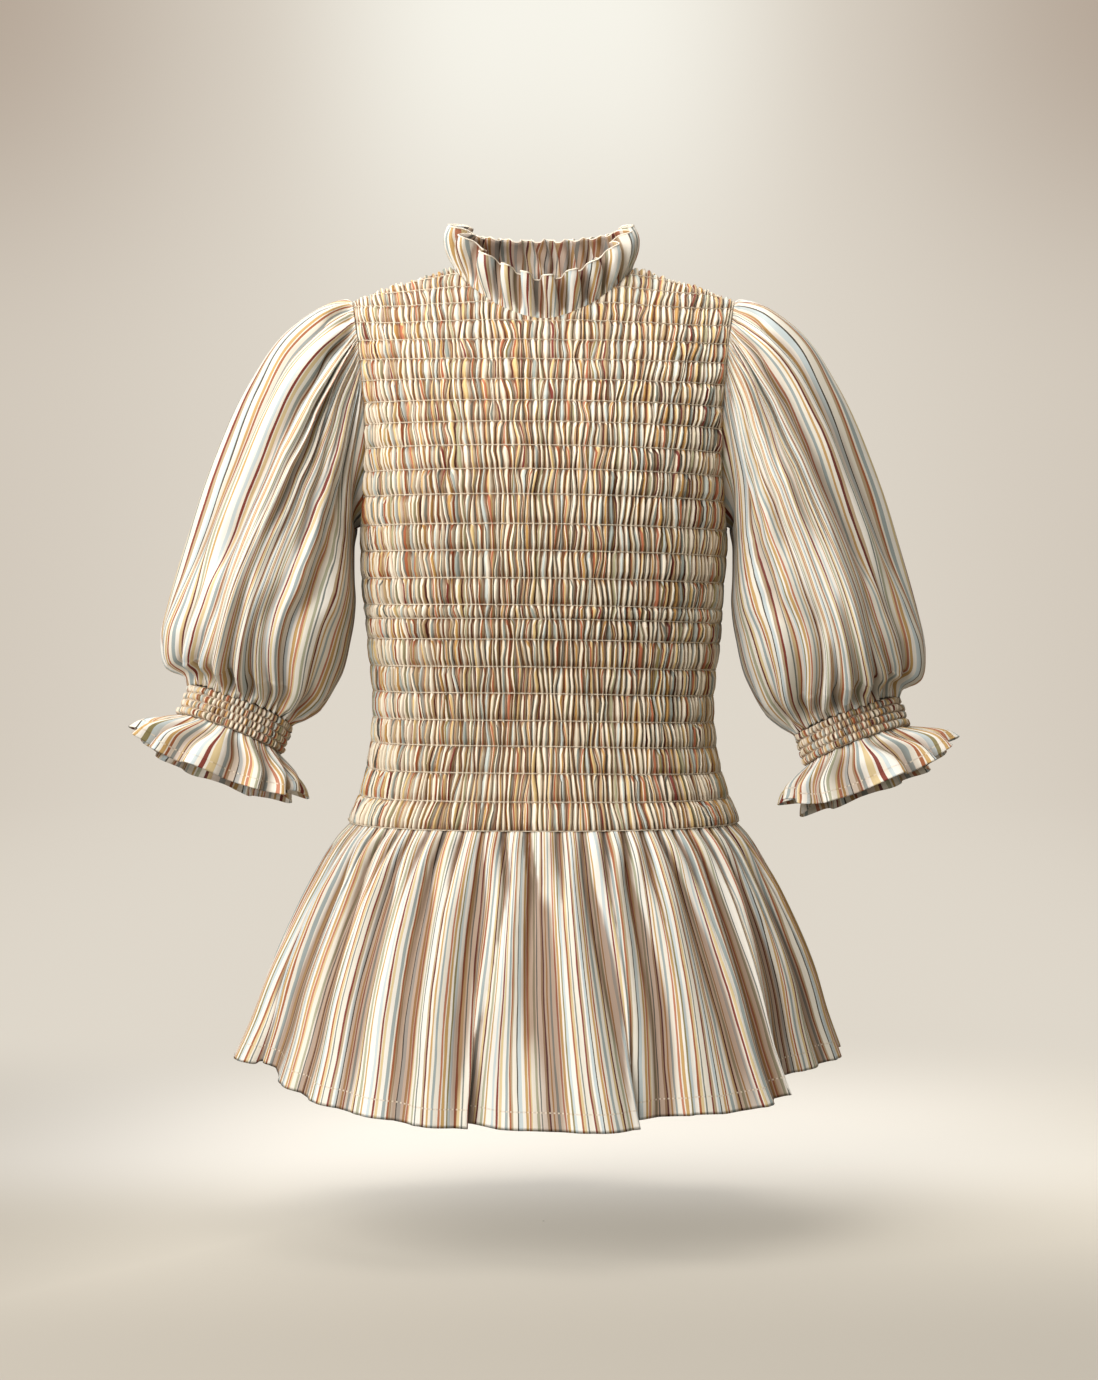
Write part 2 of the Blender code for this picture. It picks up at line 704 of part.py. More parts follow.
def ruffle_mesh(side):
    _, across, front, along, centre = cuff_frame()
    centre = centre + along * (CUFF_LENGTH + SEAM / 2)
    count = RUFFLE_WAVES * 4
    turn = np.arange(count) * 2 * np.pi / count
    length = RUFFLE_DROP["middle"] + (RUFFLE_DROP["ends"] - RUFFLE_DROP["middle"]) * np.cos(turn) ** 2
    ripple = np.cos(RUFFLE_WAVES * turn)
    grid = []
    for drop, half_width, half_depth, wave in zip(*RUFFLE_ROWS.values()):
        reach = wave * ripple
        ring = centre + np.outer(np.cos(turn) * (half_width + reach), across)
        ring = ring + np.outer(np.sin(turn) * (half_depth + reach), front)
        grid.append(ring + np.outer(length * drop, along))
    grid = np.array(grid)
    inner = inward_grid(grid, RUFFLE_WALL, True)
    inner[0] = flattened(inner[0], centre, along)
    points = np.concatenate([grid, inner]).reshape(-1, 3)
    return lowered(points, side), wall_faces(len(grid), count, True)


def cotton(name, colour, roughness):
    material = bpy.data.materials.new(name)
    material.use_nodes = True
    shader = material.node_tree.nodes["Principled BSDF"]
    shader.inputs["Base Color"].default_value = (*colour, 1)
    shader.inputs["Roughness"].default_value = roughness
    shader.inputs["Metallic"].default_value = 0.0
    return material


def add_piece(name, mesh_parts, material):
    # One closed wall as its own object, with its faces turned outwards
    points, faces = mesh_parts
    mesh = bpy.data.meshes.new(name)
    mesh.from_pydata([tuple(point) for point in points * MM], [], faces)
    worked = bmesh.new()
    worked.from_mesh(mesh)
    bmesh.ops.recalc_face_normals(worked, faces=worked.faces)
    bmesh.ops.triangulate(worked, faces=worked.faces)
    worked.to_mesh(mesh)
    worked.free()
    mesh.materials.append(material)
    piece = bpy.data.objects.new(name, mesh)
    bpy.context.scene.collection.objects.link(piece)
    return piece


def build():
    for old in list(bpy.data.objects):
        bpy.data.objects.remove(old, do_unlink=True)
    striped = cotton("striped cotton", (0.74, 0.65, 0.53), 0.7)
    smocked = cotton("smocked striped cotton", (0.66, 0.55, 0.43), 0.75)
    for part in ("front", "back"):
        add_piece(f"bodice_{part}", bodice_mesh(part), smocked)
        add_piece(f"peplum_{part}", peplum_mesh(part), striped)
    add_piece("collar_ruffle", collar_mesh(), striped)
    for side in ("left", "right"):
        add_piece(f"sleeve_{side}", sleeve_mesh(side), striped)
        add_piece(f"cuff_{side}", cuff_mesh(side), smocked)
        add_piece(f"cuff_ruffle_{side}", ruffle_mesh(side), striped)


build()
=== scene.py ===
import math

import bmesh
import bpy
import numpy as np
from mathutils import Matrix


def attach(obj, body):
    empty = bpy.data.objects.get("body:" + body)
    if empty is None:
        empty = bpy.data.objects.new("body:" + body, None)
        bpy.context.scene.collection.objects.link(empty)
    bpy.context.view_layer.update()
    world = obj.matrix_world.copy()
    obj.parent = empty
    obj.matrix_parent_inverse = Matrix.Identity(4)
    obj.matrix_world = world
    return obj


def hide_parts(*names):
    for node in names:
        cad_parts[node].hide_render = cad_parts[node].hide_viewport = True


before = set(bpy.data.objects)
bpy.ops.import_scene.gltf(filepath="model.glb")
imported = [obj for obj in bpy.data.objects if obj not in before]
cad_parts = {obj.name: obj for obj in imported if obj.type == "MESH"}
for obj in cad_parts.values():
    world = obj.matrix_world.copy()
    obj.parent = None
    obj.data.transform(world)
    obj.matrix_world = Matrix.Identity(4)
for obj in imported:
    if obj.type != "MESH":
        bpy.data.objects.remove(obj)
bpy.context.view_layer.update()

# A smocked blouse in striped cotton. Sizes are in millimetres and mm turns them into metres.
# The front faces -Y and the wearer's left is at +X. A shape is a grid of points: rows run
# across the cloth, and each piece is a thin shell with a plain inside.
mm = 0.001
tau = 2 * math.pi
noiseSize = 64
weld = 2e-6  # points nearer than this are one, in metres
noStitch = 9.0  # a distance at which no stitch shows


class Values(dict):
    # A dictionary whose values are also read as values.name
    __getattr__ = dict.__getitem__


def columnsOf(names, *rows):
    # A short table as one array for each named column
    return Values(zip(names.split(), np.array(rows, float).T))


def mix(a, b, share):
    # a where the share is 0, b where it is 1, and a straight run between
    return a * (1 - share) + b * share


def ease(x, knots, values):
    # A cubic in each span between knots, with slopes shared at its ends
    slopes = np.gradient(values, knots, axis=0)
    i = np.clip(np.searchsorted(knots, x) - 1, 0, len(knots) - 2)
    shape = np.shape(x) + (1,) * (values.ndim - 1)
    span = (knots[i + 1] - knots[i]).reshape(shape)
    u = np.clip((x - knots[i]).reshape(shape) / span, 0, 1)
    ends = values[i] * (1 + 2 * u) * (1 - u) ** 2 + values[i + 1] * u**2 * (3 - 2 * u)
    return ends + span * (slopes[i] * u * (1 - u) ** 2 + slopes[i + 1] * u**2 * (u - 1))


def smooth(x, low, high):
    # 0 below low, 1 above high, and an S curve between
    t = np.clip((x - low) / (high - low), 0, 1)
    return t * t * (3 - 2 * t)


def fading(run, reach, power):
    # 1 at the start of a run, and near 0 past its reach
    return np.exp(-((run / reach) ** power))


def unit(vector):
    # A direction: the vector over its length
    return vector / np.maximum(np.linalg.norm(vector, axis=-1, keepdims=True), 1e-9)


def powered(value, power):
    # The size of a sine or cosine to a power, with its own sign
    return np.sign(value) * np.abs(value) ** power


def softNoise(x, y, seed, period=noiseSize):
    # Smooth noise from -1 to 1: a seeded table of numbers, eased between its points
    table = np.random.default_rng(seed).uniform(-1, 1, (period, noiseSize))
    i, j = np.floor(x).astype(int), np.floor(y).astype(int)
    u, v = smooth(x - i, 0, 1), smooth(y - j, 0, 1)
    left, right = i % period, (i + 1) % period
    low, high = j % noiseSize, (j + 1) % noiseSize
    lower = mix(table[left, low], table[right, low], u)
    return mix(lower, mix(table[left, high], table[right, high], u), v)


def halfWaves(angle, folds, steep=0.0):
    # Folds round a piece: crests and troughs in a table, joined by half waves, which may be
    # steeper where a crest falls to the next trough
    knots = np.concatenate([folds.angle - 360, folds.angle, folds.angle + 360])
    depths = np.tile(folds.depth, 3)
    i = np.clip(np.searchsorted(knots, angle) - 1, 0, len(knots) - 2)
    share = (angle - knots[i]) / (knots[i + 1] - knots[i])
    falling = depths[i + 1] < depths[i]
    share = np.where(falling, np.clip((share - steep) / (1 - 2 * steep), 0, 1), share)
    return depths[i] + (depths[i + 1] - depths[i]) * (1 - np.cos(np.pi * share)) / 2


def flatWave(turn, squareness):
    # A wave with broad crests and troughs and steep sides between them
    return np.tanh(squareness * np.sin(turn)) / np.tanh(squareness)


def creases(place, drop, table):
    # Listed creases: each is a trough along a line from its top to its foot, with raised sides
    total = np.zeros(np.broadcast(place, drop).shape)
    for top, foot, start, end, depth, width in table:
        line = top + (foot - top) * np.clip((drop - start) / (end - start), 0, 1)
        window = smooth(drop, start - 0.03, start + 0.1)
        window = window * (1 - smooth(drop, end - 0.14, end + 0.02))
        off = ((place - line + 180) % 360 - 180) / width
        total -= depth * window * (np.exp(-(off**2)) - 0.55 * np.exp(-((np.abs(off) - 1.7) ** 2)))
    return total


def gridNormals(points, closed):
    # Square to the surface: the run along the rows times the run up the columns
    wide = np.concatenate([points[:, -2:-1], points, points[:, 1:2]], axis=1) if closed else points
    across = np.gradient(wide, axis=1)
    if closed:
        across = across[:, 1:-1]
    normal = unit(np.cross(across, np.gradient(points, axis=0)))
    outward = (normal * (points - points.mean(axis=1, keepdims=True))).sum()
    return normal * np.sign(outward)


def hollows(points, normal, closed):
    # How deep a point lies below the middle of the line between its neighbours, near and far
    last = points.shape[1] - 1
    found = np.zeros(points.shape[:2])
    for reach in (3, 7):
        before, after = np.arange(last + 1) - reach, np.arange(last + 1) + reach
        if closed:
            before, after = before % last, after % last
        else:
            before, after = np.maximum(before, 0), np.minimum(after, last)
        middle = (points[:, before] + points[:, after]) / 2
        found += ((middle - points) * normal).sum(axis=2) / 2
    return found


def lining(outer, cut):
    # The inner grid, a wall's thickness in from the outer one, and the outer grid's normals
    closed = cut.closed
    if closed:
        outer[:, -1] = outer[:, 0]
    normal = gridNormals(outer, closed)
    inner = outer - normal * cut.wall
    if closed:
        inner[:, -1] = inner[:, 0]
    return inner, normal


def paired(a, b):
    # Two readings side by side
    return np.stack(np.broadcast_arrays(a, b), axis=-1)


def gridFaces(ids):
    # One face for each four neighbours in a grid
    four = (ids[:-1, :-1], ids[:-1, 1:], ids[1:, 1:], ids[1:, :-1])
    return np.stack(four, axis=-1).reshape(-1, 4)


def rimFaces(outer, inner, step):
    # Faces that join an outer edge to the inner edge, which has one point for every step of it
    count = len(inner) - 1
    return [[*outer[i * step : (i + 1) * step + 1], inner[i + 1], inner[i]] for i in range(count)]


def newMesh(name, points, faces):
    # Points in metres and lists of their numbers make a mesh
    mesh = bpy.data.meshes.new(name)
    mesh.from_pydata(points.reshape(-1, 3).tolist(), [], faces)
    return mesh


def addMesh(mesh, material, near=0.0, outward=True):
    # Points that are near each other are joined, faces turn outward, and it goes into the scene
    worked = bmesh.new()
    worked.from_mesh(mesh)
    if near:
        bmesh.ops.remove_doubles(worked, verts=worked.verts, dist=near)
    if outward:
        bmesh.ops.recalc_face_normals(worked, faces=worked.faces)
    worked.to_mesh(mesh)
    worked.free()
    mesh.shade_smooth()
    mesh.materials.append(material)
    piece = bpy.data.objects.new(mesh.name, mesh)
    bpy.context.scene.collection.objects.link(piece)
    return piece


def makeShell(name, node, outer, inner, cloth, valley, stitch, cut, material):
    # A fine outer grid and a sparser inner one, joined at their rims; a closed shell meets itself
    # at its first and last columns. Cloth is the place on the flat cloth, valley is how much
    # painted shade a point holds, more of it inside, and stitch is how far off the nearest stitches
    # are.
    rowStep, columnStep = cut.steps
    sparse = (slice(None, None, rowStep), slice(None, None, columnStep))
    ids = np.arange(outer[..., 0].size).reshape(outer.shape[:2])
    small = inner[sparse]
    innerIds = ids.size + np.arange(small[..., 0].size).reshape(small.shape[:2])
    faces = gridFaces(ids).tolist() + gridFaces(innerIds)[:, ::-1].tolist()
    for end in (0, -1):
        faces += rimFaces(ids[end].tolist(), innerIds[end].tolist(), columnStep)
        if not cut.closed:
            faces += rimFaces(ids[:, end].tolist(), innerIds[:, end].tolist(), rowStep)
    mesh = newMesh(name, np.concatenate([outer.reshape(-1, 3), small.reshape(-1, 3)]) * mm, faces)
    corners = np.empty(len(mesh.loops), np.int32)
    mesh.loops.foreach_get("vertex_index", corners)
    flat = np.concatenate([cloth.reshape(-1, 2), cloth[sparse].reshape(-1, 2)]) * mm
    layer = mesh.uv_layers.new(name="cloth")
    layer.data.foreach_set("uv", flat[corners].astype(np.float32).ravel())
    # The inside of a shell holds at least insideShade of painted shade
    least = cut.get("insideShade", 0.0)
    for mark, values, least in (("valley", valley, least), ("stitch", stitch, 0.0)):
        values = np.broadcast_to(values, ids.shape)
        both = np.concatenate([values.ravel(), least + (1 - least) * values[sparse].ravel()])
        held = mesh.attributes.new(mark, "FLOAT", "POINT")
        held.data.foreach_set("value", both.astype(np.float32))
    piece = addMesh(mesh, material, weld)
    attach(piece, "root")
    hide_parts(node)
    triangles = sum(len(face.vertices) - 2 for face in mesh.polygons)
    share = sum(face.area for face in mesh.polygons) / 2 / cut.area
    print(f"{name}: {triangles} triangles, {share:.2f} of its flat cloth")


def makeThreads(name, paths, normals, radius, material):
    # Rows of sewing thread: a triangle is carried along each path, set square to it, corner out
    along = unit(np.gradient(paths, axis=1))
    beside = unit(np.cross(along, normals))
    ring = np.stack([normals, beside - normals * 0.6, -beside - normals * 0.6], axis=2) * radius
    points = (paths[:, :, None] + ring) * mm
    ids = np.arange(points[..., 0].size).reshape(points.shape[:3])
    turned = np.roll(ids, -1, axis=2)
    four = (ids[:, :-1], turned[:, :-1], turned[:, 1:], ids[:, 1:])
    sides = np.stack(four, axis=-1).reshape(-1, 4)
    ends = np.concatenate([ids[:, 0, ::-1], ids[:, -1]])
    print(f"{name}: {2 * len(sides) + len(ends)} triangles")
    piece = addMesh(newMesh(name, points, sides.tolist() + ends.tolist()), material)
    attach(piece, "root")


# The stripes as they are woven, side by side, with their widths
yarn = {
    "cream": (0.875, 0.855, 0.81), "white": (0.90, 0.885, 0.855), "paleBlue": (0.75, 0.79, 0.80),
    "slate": (0.49, 0.51, 0.49), "slateBlue": (0.61, 0.65, 0.65), "charcoal": (0.33, 0.30, 0.26),
    "burgundy": (0.50, 0.23, 0.18), "darkBurgundy": (0.41, 0.18, 0.14),
    "terracotta": (0.71, 0.48, 0.37), "rust": (0.63, 0.39, 0.25), "ochre": (0.74, 0.61, 0.40),
    "lightOchre": (0.82, 0.745, 0.58), "olive": (0.56, 0.52, 0.36), "greyGreen": (0.66, 0.66, 0.57),
    "taupe": (0.70, 0.625, 0.51),
}
stripes = (
    """white 4.6, paleBlue 2, cream 2, burgundy 1.7, cream 0.9, lightOchre 2.4, white 3.2,
    slateBlue 2.6, cream 1.3, rust 1.5, taupe 1.7, cream 3.8, charcoal 1.1, paleBlue 2.8, white 2.4,
    ochre 2.2, cream 0.9, terracotta 1.5, lightOchre 1.4, cream 3.4, greyGreen 2.2, white 1.2,
    slate 1.2, white 3.6, taupe 1.8, darkBurgundy 1.5, cream 1.8, ochre 1.6, cream 2.2,
    slateBlue 2""",
    """cream 3.6, terracotta 1.6, cream 1, ochre 2.4, white 2, olive 1.4, paleBlue 2.4, white 3.4,
    rust 1.7, lightOchre 2, cream 1.3, slate 1.3, cream 4, burgundy 1.6, taupe 1.9, white 1.6,
    paleBlue 2, charcoal 1, cream 2.8, ochre 1.8, cream 0.9, rust 1.3, cream 2.2, slateBlue 2.8,
    white 2.8, lightOchre 2.4, darkBurgundy 1.4, cream 2.6, greyGreen 2.4, white 1.4, ochre 1.5""",
)


def shown(colour):
    # From a colour as the eye judges it on a screen to the light that it gives, for a socket
    return (*(c / 12.92 if c < 0.04045 else ((c + 0.055) / 1.055) ** 2.4 for c in colour), 1)


def chartStops(chart):
    # The start of each stripe as a share of the chart's width, with its colour
    found = [word.split() for word in chart.replace("\n", " ").split(",")]
    widths = np.array([float(width) for _, width in found])
    starts = np.concatenate([[0], widths.cumsum()[:-1]]) / widths.sum()
    return [(start, shown(yarn[name])) for start, (name, _) in zip(starts, found)], widths.sum()


class Reading:
    # A value in a material: a sum, difference, product or quotient of it adds the Math node
    def __init__(self, paint, socket):
        self.paint, self.socket = paint, socket

    def __add__(self, other):
        return self.paint.maths("ADD", self, other)

    def __sub__(self, other):
        return self.paint.maths("SUBTRACT", self, other)

    def __rsub__(self, other):
        return self.paint.maths("SUBTRACT", other, self)

    def __mul__(self, other):
        return self.paint.maths("MULTIPLY", self, other)

    def __truediv__(self, other):
        return self.paint.maths("DIVIDE", self, other)

    __radd__, __rmul__ = __add__, __mul__


class Paint:
    # A material and the nodes in it
    def __init__(self, name):
        self.material = bpy.data.materials.new(name)
        self.material.use_nodes = True
        self.tree = self.material.node_tree

    def node(self, kind, settings=None, inputs=None, output=0):
        # A node with its settings first, then values or links in its sockets
        made = self.tree.nodes.new(kind)
        for key, value in (settings or {}).items():
            if key == "stops":
                self.fillRamp(made.color_ramp, value)
            else:
                setattr(made, key, value)
        self.feed(made, inputs or {})
        return Reading(self, made.outputs[output])

    def feed(self, node, inputs):
        # Each socket takes a link or its own value
        for key, value in inputs.items():
            if isinstance(value, Reading):
                self.tree.links.new(value.socket, node.inputs[key])
            else:
                node.inputs[key].default_value = value

    def finish(self, inputs):
        # What the surface itself is fed
        self.feed(self.tree.nodes["Principled BSDF"], inputs)
        return self.material

    def fillRamp(self, ramp, stops):
        # One even colour from each stop to the next
        ramp.interpolation = "CONSTANT"
        ramp.elements[0].position, ramp.elements[1].position = stops[0][0], stops[-1][0]
        for place, _ in stops[1:-1]:
            ramp.elements.new(place)
        for element, (_, colour) in zip(ramp.elements, stops):
            element.color = colour

    def maths(self, operation, a, b=0.0):
        # One Math node on one or two values
        return self.node("ShaderNodeMath", {"operation": operation}, {0: a, 1: b})

    def blend(self, factor, a, b, kind="MIX"):
        # From colour a to colour b
        settings = {"data_type": "RGBA", "blend_type": kind}
        return self.node("ShaderNodeMix", settings, {0: factor, 6: a, 7: b}, 2)

    def noise(self, x, y, z=0.0, detail=2.0, roughness=0.5):
        # Noise from about 0 to 1 at a place made of three readings
        place = self.node("ShaderNodeCombineXYZ", {}, {0: x, 1: y, 2: z})
        inputs = {"Vector": place, "Scale": 1.0, "Detail": detail, "Roughness": roughness}
        return self.node("ShaderNodeTexNoise", {}, inputs)

    def slope(self, value, ends, start=0.0, stop=1.0, kind="SMOOTHERSTEP"):
        # From start to stop as the value goes from one end to the other
        inputs = {0: value, 1: ends[0], 2: ends[1], 3: start, 4: stop}
        return self.node("ShaderNodeMapRange", {"interpolation_type": kind}, inputs)

    def mark(self, name):
        # A reading that the mesh holds
        return self.node("ShaderNodeAttribute", {"attribute_name": name}, {}, 2)

    def axes(self, kind, settings=None, output=0):
        # A place as its three readings
        place = self.node(kind, settings, {}, output)
        split = self.node("ShaderNodeSeparateXYZ", {}, {0: place}).socket.node
        return [Reading(self, socket) for socket in split.outputs]


cotton = Values(
    wobble=1.5,  # how far a stripe strays sideways
    fray=0.03,  # how ragged its edges are
    streak=0.10,  # light and dark yarns
    cloud=0.08,  # uneven dye
    roughness=0.62, sheen=0.03, shine=0.35,
    weave=0.55,  # one thread and its gap
    weaveHeight=0.012,
    shade=(0.56, 0.375, 0.19),  # the colour that painted shade in folds and at stitches darkens towards
    thread=(0.90, 0.85, 0.76),
)
# How much painted shade each cotton takes in its folds and at its stitches, how its stitches look,
# how crumpled it is, and how much painted bounce light deepens and tints its colours
cottons = {
    "striped_cotton": Values(
        valley=0.7, stitch=0.7, stitchLength=3.6, stitchWidth=0.9, dash=0.2,
        crumple=0.3, depth=1.08, tint=(0.965, 0.96, 0.95),
    ),
    "smocked_cotton": Values(
        valley=0.9, stitch=0.55, stitchLength=2.2, stitchWidth=1.2, dash=-0.3,
        crumple=0.15, depth=1.22, tint=(1.14, 1.08, 0.97),
    ),
}


def clothMaterial(name):
    # Striped cotton: stripes run up the cloth, and read the place on the flat cloth, in metres
    paint, look = Paint(name), cottons[name]
    across, along, _ = paint.axes("ShaderNodeUVMap", {"uv_map": "cloth"})
    across, along = across / mm, along / mm
    sway = paint.noise(across / 9, along / 55) - 0.5
    fray = paint.noise(across / 0.9, along / 1.6, 3.0, 1.0) - 0.5
    (firstStops, firstWidth), (secondStops, secondWidth) = (chartStops(chart) for chart in stripes)
    repeat = firstWidth + secondWidth
    strayed = across + sway * (2 * cotton.wobble) + fray * (2 * cotton.fray)
    turn = paint.maths("FRACT", strayed / repeat)
    half = firstWidth / repeat
    halves = ((firstStops, turn / half), (secondStops, (turn - half) / (1 - half)))
    charts = (paint.node("ShaderNodeValToRGB", {"stops": stops}, {0: at}) for stops, at in halves)
    colour = paint.blend(paint.maths("GREATER_THAN", turn, half), *charts)
    # Yarns differ a little in shade, and the dye is uneven along them
    yarns = paint.noise(across / 0.8, along / 26, 7.0)
    cloud = paint.noise(across / 30, along / 40, 11.0)
    light = 1 + (yarns - 0.5) * cotton.streak * 2 + (cloud - 0.5) * cotton.cloud
    colour = paint.node("ShaderNodeVectorMath", {"operation": "SCALE"}, {0: colour, "Scale": light})
    # Painted shade: colours darken towards a warm shade where the mesh marks folds
    shade = shown(cotton.shade)
    colour = paint.blend(paint.mark("valley") * look.valley, colour, shade, "MULTIPLY")
    # Painted bounce light between the puffs: a gamma deepens the colours, and a tint warms and
    # brightens the smocked cotton and dims the striped one a little
    colour = paint.node("ShaderNodeGamma", {}, {"Color": colour, "Gamma": look.depth})
    colour = paint.blend(1.0, colour, (*look.tint, 1), "MULTIPLY")
    # Stitches are dashes of pale thread, with painted shade along the stitched dip
    away = paint.maths("ABSOLUTE", paint.mark("stitch"))
    stitch = paint.slope(away, (0.0, look.stitchWidth), 1.0, 0.0, "LINEAR") * look.stitch
    colour = paint.blend(stitch * 0.45, colour, shade, "MULTIPLY")
    dash = paint.maths("SINE", across * (tau / look.stitchLength))
    dash = stitch * paint.maths("GREATER_THAN", dash, look.dash)
    colour = paint.blend(dash, colour, shown(cotton.thread))
    threads = tau / cotton.weave
    weave = paint.maths("SINE", across * threads) * paint.maths("SINE", along * threads)
    crumple = paint.noise(across / 7, along / 9, 17.0, 4.0, 0.6)
    height = weave * cotton.weaveHeight + crumple * look.crumple
    bump = {"Height": height, "Strength": 0.5, "Distance": mm}
    return paint.finish({
        "Base Color": colour,
        "Roughness": cotton.roughness,
        "Sheen Weight": cotton.sheen,
        "Specular IOR Level": cotton.shine,
        "Normal": paint.node("ShaderNodeBump", {}, bump),
    })


def threadMaterial(name, dark, light):
    # Pale thread with knots: noise mixes a darker and a lighter tone
    paint = Paint(name)
    place = paint.axes("ShaderNodeTexCoord", {}, 3)
    knots = paint.noise(*(axis / 0.004 for axis in place), 2.0, 0.7)
    colour = paint.blend(knots * 1.7 - 0.25, shown(dark), shown(light))
    return paint.finish({"Base Color": colour, "Roughness": 0.7})


# The body that the bodice is worn on: sections from the waist seam up, with half their width and
# their depth before and behind the side seams
body = Values(
    waistZ=-468.0, bustZ=-254.0, power=2.3,
    sections=columnsOf(
        "z halfWidth front back",
        (-468, 163, 112, 108), (-442, 152, 106, 100), (-415, 145, 101, 94), (-370, 141, 99, 89),
        (-310, 146, 107, 92), (-254, 150.5, 115, 98), (-205, 153, 116, 102), (-150, 158, 109, 105),
        (-100, 166, 92, 101), (-50, 175, 66, 91), (0, 186, 52, 79), (35, 191, 48, 70),
    ),
    tipX=161.0,  # the shoulder's outer end
    tipZ=-28.0, shoulderFall=0.32, roll=Values(front=70.0, back=60.0), neckHalfWidth=76.0,
    neckHalfDepth=Values(front=65.3, back=62.0),
    armhole=columnsOf(
        "angle z", (62, -58), (62.9, -92), (65.5, -128), (71, -168), (80, -202), (90, -217)
    ),
    seam=0.3,
)


def sectionShares(turn):
    # Sideways and forward shares of a rounded section, at an angle from the panel's middle
    power = 2 / body.power
    return powered(np.sin(turn), power), np.abs(np.cos(turn)) ** power


def shoulderZ(x):
    # The shoulder line falls evenly from the neck to its outer end
    return body.tipZ + (body.tipX - np.abs(x)) * body.shoulderFall


class BodyPanel:
    # The front or back of the body as a surface of two lengths: across is measured round the bust
    # from the panel's middle, and up is measured along the cloth from the waist seam
    lineCount = 361
    middle = lineCount // 2
    straightSteps = 200
    rollSteps = 80
    above = 100.0  # a height over every shoulder

    def __init__(self, part):
        self.part = part
        self.facing = -1 if part == "front" else 1
        self.angles = np.radians(np.linspace(-90, 90, self.lineCount))
        self.lines = self.linesAt(self.angles)
        steps = np.linalg.norm(np.diff(self.lines, axis=0), axis=2)
        self.ups = np.concatenate([np.zeros((1, self.lineCount)), steps.cumsum(axis=0)])
        self.across = self.bustRun()
        self.half = self.across[-1]
        reach = self.ups[-1].max()
        self.evenUps = np.linspace(0, reach, int(reach) + 1)
        self.table = np.array(
            [
                [np.interp(self.evenUps, self.ups[:, i], self.lines[:, i, k]) for k in range(3)]
                for i in range(self.lineCount)
            ]
        ).transpose(0, 2, 1)

    def linesAt(self, angles):
        # A line at each angle runs up the body, then over the rounded roll to the shoulder line
        side, ahead = sectionShares(angles)
        sections = body.sections
        self.ridge = np.full(len(angles), body.tipX)
        for _ in range(8):
            halfWidth = ease(shoulderZ(self.ridge), sections.z, sections.halfWidth)
            self.ridge = halfWidth * np.abs(side)
        roll = body.roll[self.part]
        rollZ = shoulderZ(self.ridge) - roll
        share = np.linspace(0, 1, self.straightSteps)[:, None]
        turn = np.linspace(0, np.pi / 2, self.rollSteps)[1:, None]
        straight = body.waistZ + (rollZ - body.waistZ) * share
        z = np.concatenate([straight, rollZ + roll * np.sin(turn)])
        turn = np.concatenate([np.zeros_like(share), turn])
        x = ease(z, sections.z, sections.halfWidth) * side
        y = ease(z, sections.z, sections[self.part]) * ahead * np.cos(turn) * self.facing
        return np.stack([x, y, z], axis=-1)

    def bustRun(self):
        # The length round the bust at each line, counted from the middle
        side, ahead = sectionShares(self.angles)
        sections, bustZ = body.sections, np.array([body.bustZ])
        wide, deep = (ease(bustZ, sections.z, sections[name]) for name in ("halfWidth", self.part))
        bust = np.stack([wide * side, deep * ahead], axis=1)
        run = np.concatenate([[0], np.linalg.norm(np.diff(bust, axis=0), axis=1).cumsum()])
        return run - run[-1] / 2

    def points(self, across, up):
        # Read between the four nearest places of the even table
        i = np.interp(across, self.across, np.arange(self.lineCount))
        j = np.clip(up / self.evenUps[1], 0, len(self.evenUps) - 1.001)
        left = np.minimum(i.astype(int), self.lineCount - 2)
        low = j.astype(int)
        u, v = (i - left)[..., None], (j - low)[..., None]
        lower = mix(self.table[left, low], self.table[left + 1, low], u)
        upper = mix(self.table[left, low + 1], self.table[left + 1, low + 1], u)
        return mix(lower, upper, v)

    def normals(self, across, up, step=2.0):
        # The run across times the run up, pointing out of the body
        right = self.points(np.minimum(across + step, self.half), up)
        right = right - self.points(np.maximum(across - step, -self.half), up)
        rise = self.points(across, up + step) - self.points(across, np.maximum(up - step, 0))
        return unit(np.cross(right, rise) * -self.facing)

    def upAt(self, angle, z):
        # How far up the cloth a height is, on the line at that angle
        i = np.interp(angle, self.angles, np.arange(self.lineCount))
        left = min(int(i), self.lineCount - 2)
        ends = [np.interp(z, self.lines[:, k, 2], self.ups[:, k]) for k in (left, left + 1)]
        return ends[0] + (ends[1] - ends[0]) * (i - left)

    def armholeCurve(self, count):
        # From the underarm to the shoulder tip, as across and up
        tip = np.interp(body.tipX, self.ridge[self.middle :], self.angles[self.middle :])
        angles = np.append(np.radians(body.armhole.angle)[::-1], tip)
        heights = np.append(body.armhole.z[::-1], body.tipZ)
        knots, fine = np.linspace(0, 1, len(angles)), np.linspace(0, 1, count)
        angles = ease(fine, knots, angles)
        heights = np.minimum(ease(fine, knots, heights), body.tipZ)
        ups = [self.upAt(angle, z) for angle, z in zip(angles, heights)]
        ups[-1] = self.upAt(tip, self.above)
        return np.interp(angles, self.angles, self.across), np.array(ups)

    def neckCurve(self):
        # Where each line of the right half crosses the neck's oval, from the middle out
        half = slice(self.middle, None)
        x, y = self.lines[:, half, 0], self.lines[:, half, 1]
        oval = (x / body.neckHalfWidth) ** 2 + (y / body.neckHalfDepth[self.part]) ** 2
        inside = oval[-1] < 1
        start = self.straightSteps // 2
        ups = [
            np.interp(-1, -oval[start:, k], self.ups[start:, self.middle + k])
            for k in np.flatnonzero(inside)
        ]
        edge = np.interp(body.neckHalfWidth, self.ridge[half], self.angles[half])
        across = np.append(self.across[half][inside], np.interp(edge, self.angles, self.across))
        return across, np.append(ups, self.upAt(edge, self.above))

    def topEdge(self):
